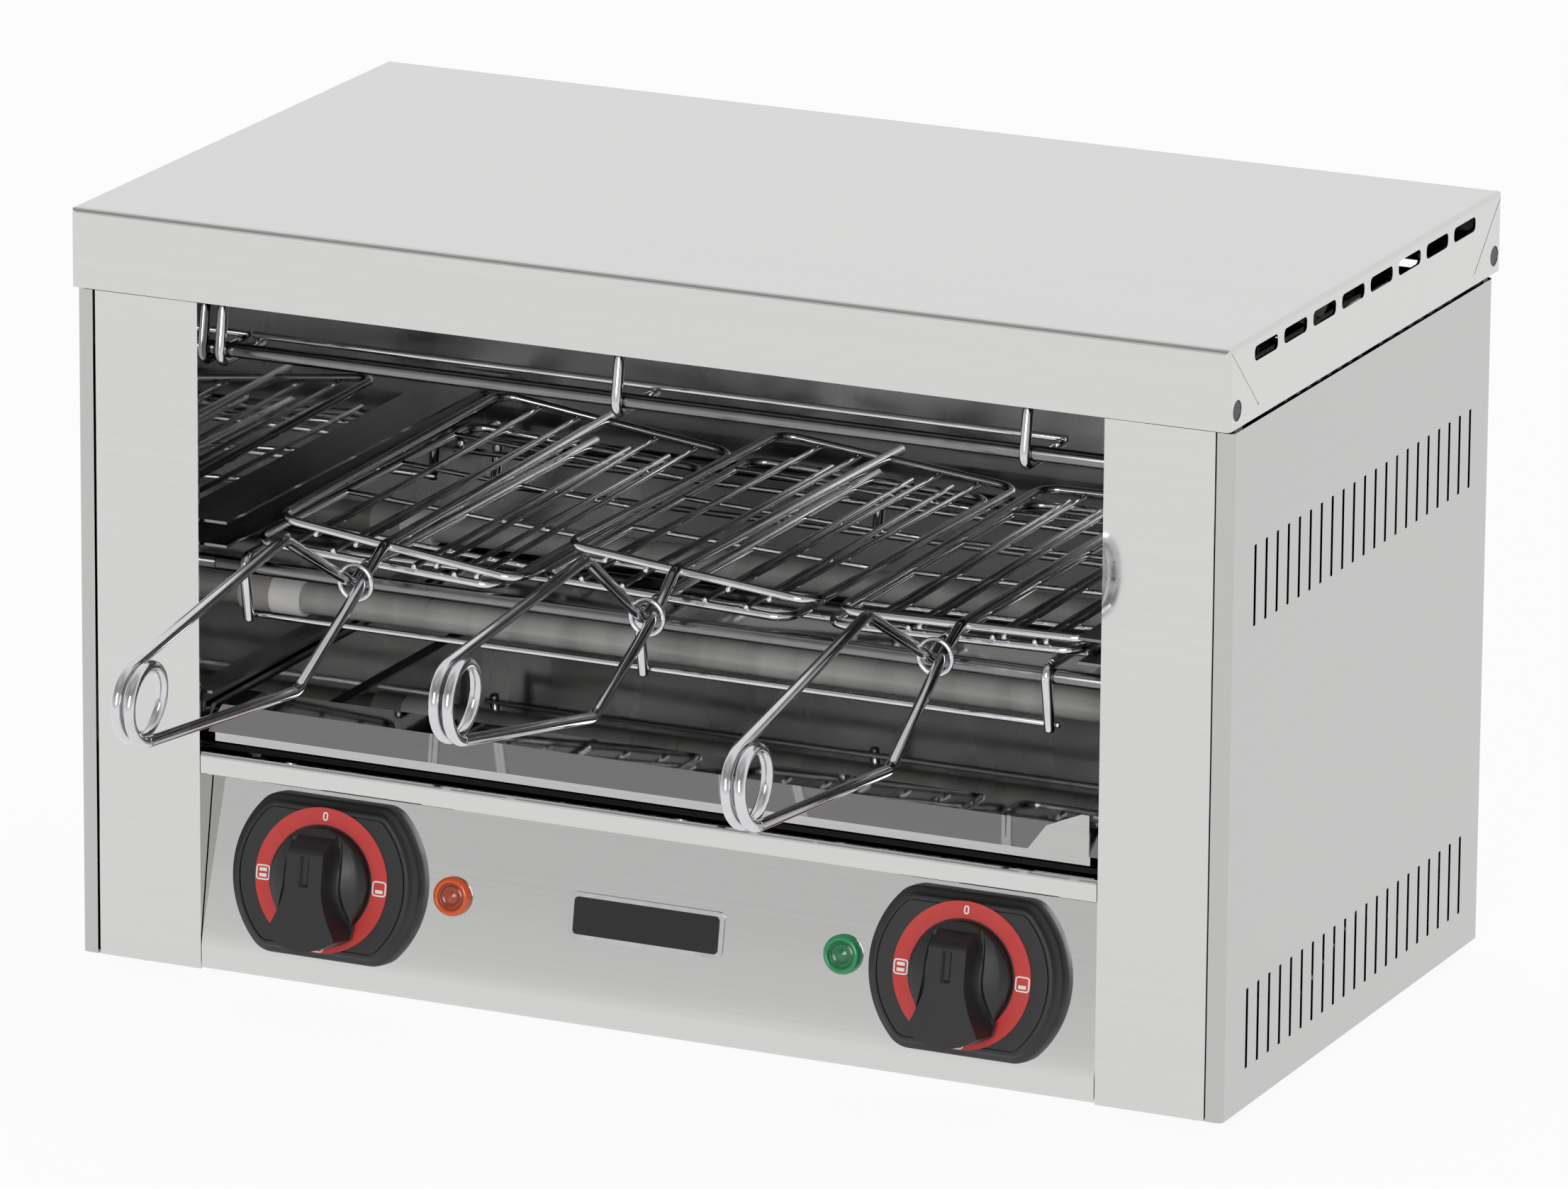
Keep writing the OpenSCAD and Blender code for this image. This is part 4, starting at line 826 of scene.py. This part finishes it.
def knob_row(v):
    """One row of the knob's top from left to right, as points."""
    rim = max(half_chord(skirt_radius, v), grip_foot_half(v) if v < 0 else 0.0)
    foot = min(grip_foot_half(v), rim - row_gap)
    top = min(grip_top_half(v), foot - row_gap)
    crest = max(grip_rise(v), skirt_rise(0, v))
    halves = []
    for k in range(skirt_steps):
        u = rim + (foot - rim) * k / skirt_steps
        edge = min((rim - u) / skirt_round, 1.0)
        drop = skirt_round * (1 - math.sqrt(1 - (1 - edge) ** 2))
        halves.append((u, skirt_rise(u, v) - drop * (v > scoop_end)))
    low = skirt_rise(foot, v)
    # Four times a share times the rest of it is 1 half way along, where the scoop is deepest.
    dip = (4 * scoop_dip * min((crest - low) / scoop_full_rise, 1.0) ** 2
           * min((foot - top) / scoop_full_width, 1.0))
    for k in range(flank_steps):
        share = k / flank_steps
        halves.append((foot + (top - foot) * share,
                       low + (crest - low) * share ** 3 - dip * share * (1 - share)))
    in_groove = groove_end < v < groove_from
    for u in (top, top * crest_share, groove_half + groove_wall):
        halves.append((min(u, top), crest))
    for u in (groove_half, groove_half / 2):
        halves.append((u, crest - groove_deep * in_groove))
    left = [Vector((-u, v, h)) for u, h in halves]
    return left + [Vector((0, v, halves[-1][1]))] + [Vector((u, v, h)) for u, h in reversed(halves)]


def knob_mesh():
    """The knob as one closed mesh: its top from rows, then walls down to a level foot."""
    bm = bmesh.new()
    rows = [[bm.verts.new(point) for point in knob_row(v)] for v in knob_levels]
    for high, low in zip(rows, rows[1:]):
        for i in range(len(high) - 1):
            bm.faces.new((high[i], low[i], low[i + 1], high[i + 1]))
    rim = [row[0] for row in rows] + rows[-1][1:]
    rim += [row[-1] for row in rows[-2::-1]] + rows[0][-2:0:-1]
    foot = []
    for vert in rim:
        flat = Vector((vert.co.x, vert.co.y, 0))
        foot.append(bm.verts.new(flat * min(1.0, foot_radius / max(flat.length, 1.0))))
    for i in range(len(rim)):
        j = (i + 1) % len(rim)
        bm.faces.new((rim[i], rim[j], foot[j], foot[i]))
    bm.faces.new(foot)
    bmesh.ops.dissolve_degenerate(bm, dist=knob_joined_within, edges=bm.edges[:])
    return bm


# Moulded phenolic is a deep black with a low gloss, which picks out the ridges.
phenolic = moulded("moulded black phenolic", phenolic_light, phenolic_dark, phenolic_roughness, spark_grain,
                   phenolic_deep)
for side, x in knob_sides:
    place = face @ Matrix.Translation((x, control_height, knob_lift))
    moulding = piece(f"{side}_knob_moulding", knob_mesh(), place, phenolic, f"{side}_knob", "black_plastic",
                     f"{side}_knob", sharp=34)
    break_edges(moulding, knob_edge)
# Zinc plate gives the spindles a pale, satin grey.
spindle_zinc = drawn_metal("zinc plated steel", spindle_colour, spindle_roughness, spindle_blotch)
dress(spindle_zinc, "left_spindle", "right_spindle")
# Cream phenolic, as it leaves the mould, is pale, matt and slightly mottled.
cream = moulded("moulded cream phenolic", switch_light, switch_dark, switch_roughness, switch_grain,
                switch_deep)
dress(cream, "rotary_switches")


# Pilot lamps: an amber and a green jewel in the panel, in front of two neon holders.
# Polycarbonate lenses, moulded with a rounded rim and rings inside, pushed through the panel into
# the moulded nylon holders.
lamp_from_middle = 77.0
lens_points = 64
lens_middle = 1.5
# The lens's section, as radius and height, from its rim in to its middle.
lens_section = ((6.6, 0.0), (7.2, 0.2), (7.2, 1.0), (7.05, 1.9), (6.6, 2.6), (5.9, 2.95), (5.3, 2.8),
                (4.9, 2.2), (4.7, 1.7), (4.3, 1.6), (3.9, 1.9), (3.5, 2.0), (3.1, 1.8), (2.7, 1.6),
                (1.9, 1.7), (1.2, 2.0), (0.6, 2.2), (0.2, 2.25))
# The colours of each lens at its rim, in its dish and at its heart, and the radii between which they turn:
# the bright rim is painted light, the dark dish painted shade.
amber_lens = ("#E85A0C", "#8A2A04", "#B8480F")
green_lens = ("#0F9A5C", "#04683A", "#0A7A48")
rim_from, rim_to = 4.3, 5.6
heart_from, heart_to = 0.8, 3.0
flow_size, flow_share = 1.6, 0.25


def jewel(name, bright, deep, core, x):
    """A coloured lens with its middle at x, deeper in its dish than round its rim: painted light on the rim,
    painted shade in the dish.
    """
    made, tree, where = start_material(name)
    centre = face @ Vector((x, control_height, lens_middle))
    away = add(tree, "ShaderNodeVectorMath", {0: where, 1: centre}, operation="DISTANCE").outputs["Value"]
    rim = add(tree, "ShaderNodeMapRange", {
        "Value": away, "From Min": rim_from * mm, "From Max": rim_to * mm}, interpolation_type="SMOOTHSTEP")
    heart = add(tree, "ShaderNodeMapRange", {
        "Value": away, "From Min": heart_from * mm, "From Max": heart_to * mm},
        interpolation_type="SMOOTHSTEP")
    flow = add(tree, "ShaderNodeTexNoise", {"Vector": where, "Scale": 1 / (flow_size * mm), "Detail": 2.0})
    dish = add(tree, "ShaderNodeMixRGB", {
        "Fac": heart.outputs["Result"], "Color1": linear(core), "Color2": linear(deep)})
    body = add(tree, "ShaderNodeMixRGB", {
        "Fac": rim.outputs["Result"], "Color1": dish.outputs["Color"], "Color2": linear(bright)})
    streak = add(tree, "ShaderNodeMixRGB", {
        "Fac": flow.outputs["Fac"], "Color1": body.outputs["Color"], "Color2": linear(bright)})
    tone = add(tree, "ShaderNodeMixRGB", {
        "Fac": flow_share, "Color1": body.outputs["Color"], "Color2": streak.outputs["Color"]})
    end_material(tree, Base_Color=tone.outputs["Color"], Roughness=0.16, IOR=1.58, Transmission_Weight=0.15,
                 Coat_Weight=0.2, Coat_Roughness=0.05)
    return made


# Tinted polycarbonate is glossy: it looks clear and bright at its rim, and dark where the dish is deep; the
# bright rim is painted light and the dark dish painted shade.
for name, x, colours in (("amber", -lamp_from_middle, amber_lens), ("green", lamp_from_middle, green_lens)):
    bm = bmesh.new()
    turn = [math.tau * i / lens_points for i in range(lens_points)]
    skin(bm, [[Vector((r * math.cos(a), r * math.sin(a), h)) for a in turn] for r, h in lens_section])
    place = face @ Matrix.Translation((x, control_height, 0))
    tinted = jewel(f"moulded {name} polycarbonate", *colours, x)
    piece(f"{name}_jewel", bm, place, tinted, "root", f"{name}_lens", f"{name}_lens", sharp=60)
dress(nylon, "lamp_bodies")


# Name plate: a bare plate in the middle of the control panel.
# Anodised aluminium with a bright rolled border and a black lacquered field, glued on.
plate_colour = "#D8D8D8"
plate_roughness, plate_blotch = 0.2, 6.0
plate_edge = 0.25
lacquer_light = "#19191C"
lacquer_dark = "#0D0D0F"
lacquer_roughness = 0.18
lacquer_flow = 18

# Bright anodised aluminium is an even, clean silver.
aluminium = drawn_metal("bright anodised aluminium", plate_colour, plate_roughness, plate_blotch)
dress(aluminium, "name_plate", edge=plate_edge)
# Lacquer flows out to a smooth, deep black that shows the light as a clear reflection.
lacquer, tree, where = start_material("black lacquer on aluminium")
flow = add(tree, "ShaderNodeTexNoise", {"Vector": where, "Scale": 1 / (lacquer_flow * mm), "Detail": 2.0})
tone = add(tree, "ShaderNodeMixRGB", {
    "Fac": flow.outputs["Fac"], "Color1": linear(lacquer_dark), "Color2": linear(lacquer_light)})
end_material(tree, Base_Color=tone.outputs["Color"], Roughness=lacquer_roughness)
dress(lacquer, "name_plate_field")


# Electrical parts behind the panel: terminal block, wiring loom and the cord inlet bushing.
# Moulded black nylon, and copper wire in a woven glass sleeve that stands the heat; the bushing is
# held in the back panel by its nut.
sleeve_light = "#D9D3C4"
sleeve_dark = "#B8B09E"
sleeve_roughness = 0.75
braid_size, braid_height = 0.8, 0.1
gland_edge = 0.5

# Woven glass is a matt, pale cream in which the weave just shows.
insulation, tree, where = start_material("woven glass wire sleeve")
braid = add(tree, "ShaderNodeTexNoise", {"Vector": where, "Scale": 1 / (braid_size * mm), "Detail": 2.0})
tone = add(tree, "ShaderNodeMixRGB", {
    "Fac": braid.outputs["Fac"], "Color1": linear(sleeve_dark), "Color2": linear(sleeve_light)})
weft = add(tree, "ShaderNodeBump", {
    "Height": braid.outputs["Fac"], "Strength": 0.6, "Distance": braid_height * mm})
end_material(tree, Base_Color=tone.outputs["Color"], Roughness=sleeve_roughness,
             Normal=weft.outputs["Normal"])
dress(insulation, "wiring")
dress(nylon, "terminal_block")
dress(nylon, "cable_gland", edge=gland_edge)


# Fasteners and feet: cover brackets, cover screws, back screws, rubber feet and their screws.
# Zinc plated steel with a dull passivated skin, and black oxidised screw heads; the feet are moulded
# rubber with a slight taper.
zinc_colour = "#6E6D6A"
zinc_roughness, zinc_blotch = 0.38, 2.5
oxide_colour = "#39393A"
oxide_roughness, oxide_blotch = 0.22, 2.0
screw_edge = 0.4
rubber_light = "#242424"
rubber_dark = "#181818"
# The mould's grain is finer than this too, and is drawn coarser so that it shows.
rubber_roughness, rubber_grain, rubber_deep = 0.72, 0.5, 0.03
foot_edge = 0.8

# Passivated zinc is a dull grey, clouded in small blotches.
zinc = drawn_metal("passivated zinc plated steel", zinc_colour, zinc_roughness, zinc_blotch)
dress(zinc, "cover_brackets", "foot_screws")
# Black oxide is a dark grey skin with an oily sheen.
oxide = drawn_metal("black oxidised steel", oxide_colour, oxide_roughness, oxide_blotch)
dress(oxide, "cover_screws", "back_screws", edge=screw_edge)
# Rubber, as it leaves the mould, is matt and nearly black.
rubber = moulded("moulded black rubber", rubber_light, rubber_dark, rubber_roughness, rubber_grain,
                 rubber_deep)
dress(rubber, "feet", edge=foot_edge)


# Studio: a wide floor of white paper that is painted greyer far in front as painted shade, and a room that is
# bright behind, greyer in front and a little paler overhead. One low soft box lights the toaster from in
# front, and the camera is at the photograph's angle. Sizes are in metres, but for the camera's place.
floor_half = 8.0
floor_colour = "#F2F2F2"
# The share of the paper that shows as plain white; the rest takes the light and the shadow.
floor_glow = 0.93
room_back = 0.93
room_horizon = 0.68
room_front = 0.34
room_top = 0.52
# Where the room turns from one level to the next, as parts of a direction of length 1.
behind_from, behind_to = -0.25, 0.35
dim_from, dim_to = 0.05, 0.5
over_from, over_to = 0.62, 0.85
# Far in front the paper's white is painted grey: a painted shade, which the sloping panel reflects.
paper_far_shade = "#E2E2E2"
paper_shade_span = (-1.2, -1.9)
box_size = 1.5
box_power = 42.0
box_at = Vector((0.55, -3.4, 1.15))
box_aim = Vector((0, 0, 0.15))
photo_width = 2212
lens_pixels = 16845.42
camera_azimuth, camera_elevation, camera_roll = 24.79, 16.01, 0.44
camera_on_bench = Vector((1743.71, -3651.6, 1326.26))

mesh = bpy.data.meshes.new("studio_floor")
mesh.from_pydata([(-floor_half, -floor_half, 0), (floor_half, -floor_half, 0), (floor_half, floor_half, 0),
                  (-floor_half, floor_half, 0)], [], [(0, 1, 2, 3)])
floor = bpy.data.objects.new("studio_floor", mesh)
bpy.context.scene.collection.objects.link(floor)
# Matt paper is plain white to the eye and in the metal, and still takes the toaster's shadow.
paper, tree, where = start_material("white studio paper")
light = add(tree, "ShaderNodeLightPath")
seen = add(tree, "ShaderNodeMath", {
    0: light.outputs["Is Camera Ray"], 1: light.outputs["Is Glossy Ray"]}, operation="MAXIMUM")
seen = add(tree, "ShaderNodeMath", {
    0: seen.outputs["Value"], 1: light.outputs["Is Transmission Ray"]}, operation="MAXIMUM")
share = add(tree, "ShaderNodeMath", {0: seen.outputs["Value"], 1: floor_glow}, operation="MULTIPLY")
matt = add(tree, "ShaderNodeBsdfDiffuse", {"Color": linear(floor_colour)})
ahead = add(tree, "ShaderNodeMapRange", {
    "Value": add(tree, "ShaderNodeSeparateXYZ", {"Vector": where}).outputs["Y"],
    "From Min": paper_shade_span[0], "From Max": paper_shade_span[1]}, interpolation_type="SMOOTHSTEP")
white = add(tree, "ShaderNodeMixRGB", {
    "Fac": ahead.outputs["Result"], "Color1": (1, 1, 1, 1), "Color2": linear(paper_far_shade)})
glow = add(tree, "ShaderNodeEmission", {"Color": white.outputs["Color"], "Strength": 1.0})
both = add(tree, "ShaderNodeMixShader", {
    0: share.outputs["Value"], 1: matt.outputs["BSDF"], 2: glow.outputs["Emission"]})
add(tree, "ShaderNodeOutputMaterial", {"Surface": both.outputs["Shader"]})
mesh.materials.append(paper)

room = bpy.data.worlds.new("studio room")
bpy.context.scene.world = room
room.use_nodes = True
tree = room.node_tree
tree.nodes.clear()
way = add(tree, "ShaderNodeSeparateXYZ", {"Vector": add(tree, "ShaderNodeTexCoord").outputs["Generated"]})
behind = add(tree, "ShaderNodeMapRange", {
    "Value": way.outputs["Y"], "From Min": behind_from, "From Max": behind_to},
    interpolation_type="SMOOTHSTEP")
dim = add(tree, "ShaderNodeMapRange", {
    "Value": way.outputs["Z"], "From Min": dim_from, "From Max": dim_to,
    "To Min": room_horizon, "To Max": room_front}, interpolation_type="SMOOTHSTEP")
over = add(tree, "ShaderNodeMapRange", {
    "Value": way.outputs["Z"], "From Min": over_from, "From Max": over_to,
    "To Min": 0.0, "To Max": room_top - room_front}, interpolation_type="SMOOTHSTEP")
ahead = add(tree, "ShaderNodeMath", {0: dim.outputs["Result"], 1: over.outputs["Result"]}, operation="ADD")
level = add(tree, "ShaderNodeMixRGB", {
    "Fac": behind.outputs["Result"], "Color1": ahead.outputs["Value"], "Color2": (room_back,) * 3 + (1.0,)})
sky = add(tree, "ShaderNodeBackground", {"Color": level.outputs["Color"], "Strength": 1.0})
add(tree, "ShaderNodeOutputWorld", {"Surface": sky.outputs["Background"]})

soft_box = bpy.data.lights.new("soft box", "AREA")
soft_box.size = box_size
soft_box.energy = box_power
lamp = bpy.data.objects.new("soft box", soft_box)
bpy.context.scene.collection.objects.link(lamp)
aimed = (box_aim - box_at).to_track_quat("-Z", "Y").to_matrix().to_4x4()
lamp.matrix_world = Matrix.Translation(box_at) @ aimed

azimuth, elevation, roll = (math.radians(a) for a in (camera_azimuth, camera_elevation, camera_roll))
back = Vector((math.sin(azimuth) * math.cos(elevation), -math.cos(azimuth) * math.cos(elevation),
               math.sin(elevation)))
right = (-back).cross(Vector((0, 0, 1))).normalized()
down = (-back).cross(right)
turned_right = right * math.cos(roll) - down * math.sin(roll)
turned_down = right * math.sin(roll) + down * math.cos(roll)
camera = bpy.data.cameras.new("photo camera")
camera.sensor_width = 36.0
camera.lens = camera.sensor_width * lens_pixels / photo_width
camera.clip_end = 100.0
view = bpy.data.objects.new("photo camera", camera)
bpy.context.scene.collection.objects.link(view)
axes = Matrix((turned_right, -turned_down, back)).transposed().to_4x4()
view.matrix_world = Matrix.Translation(bench @ camera_on_bench) @ axes
bpy.context.scene.camera = view
bpy.context.scene.view_settings.view_transform = "Standard"
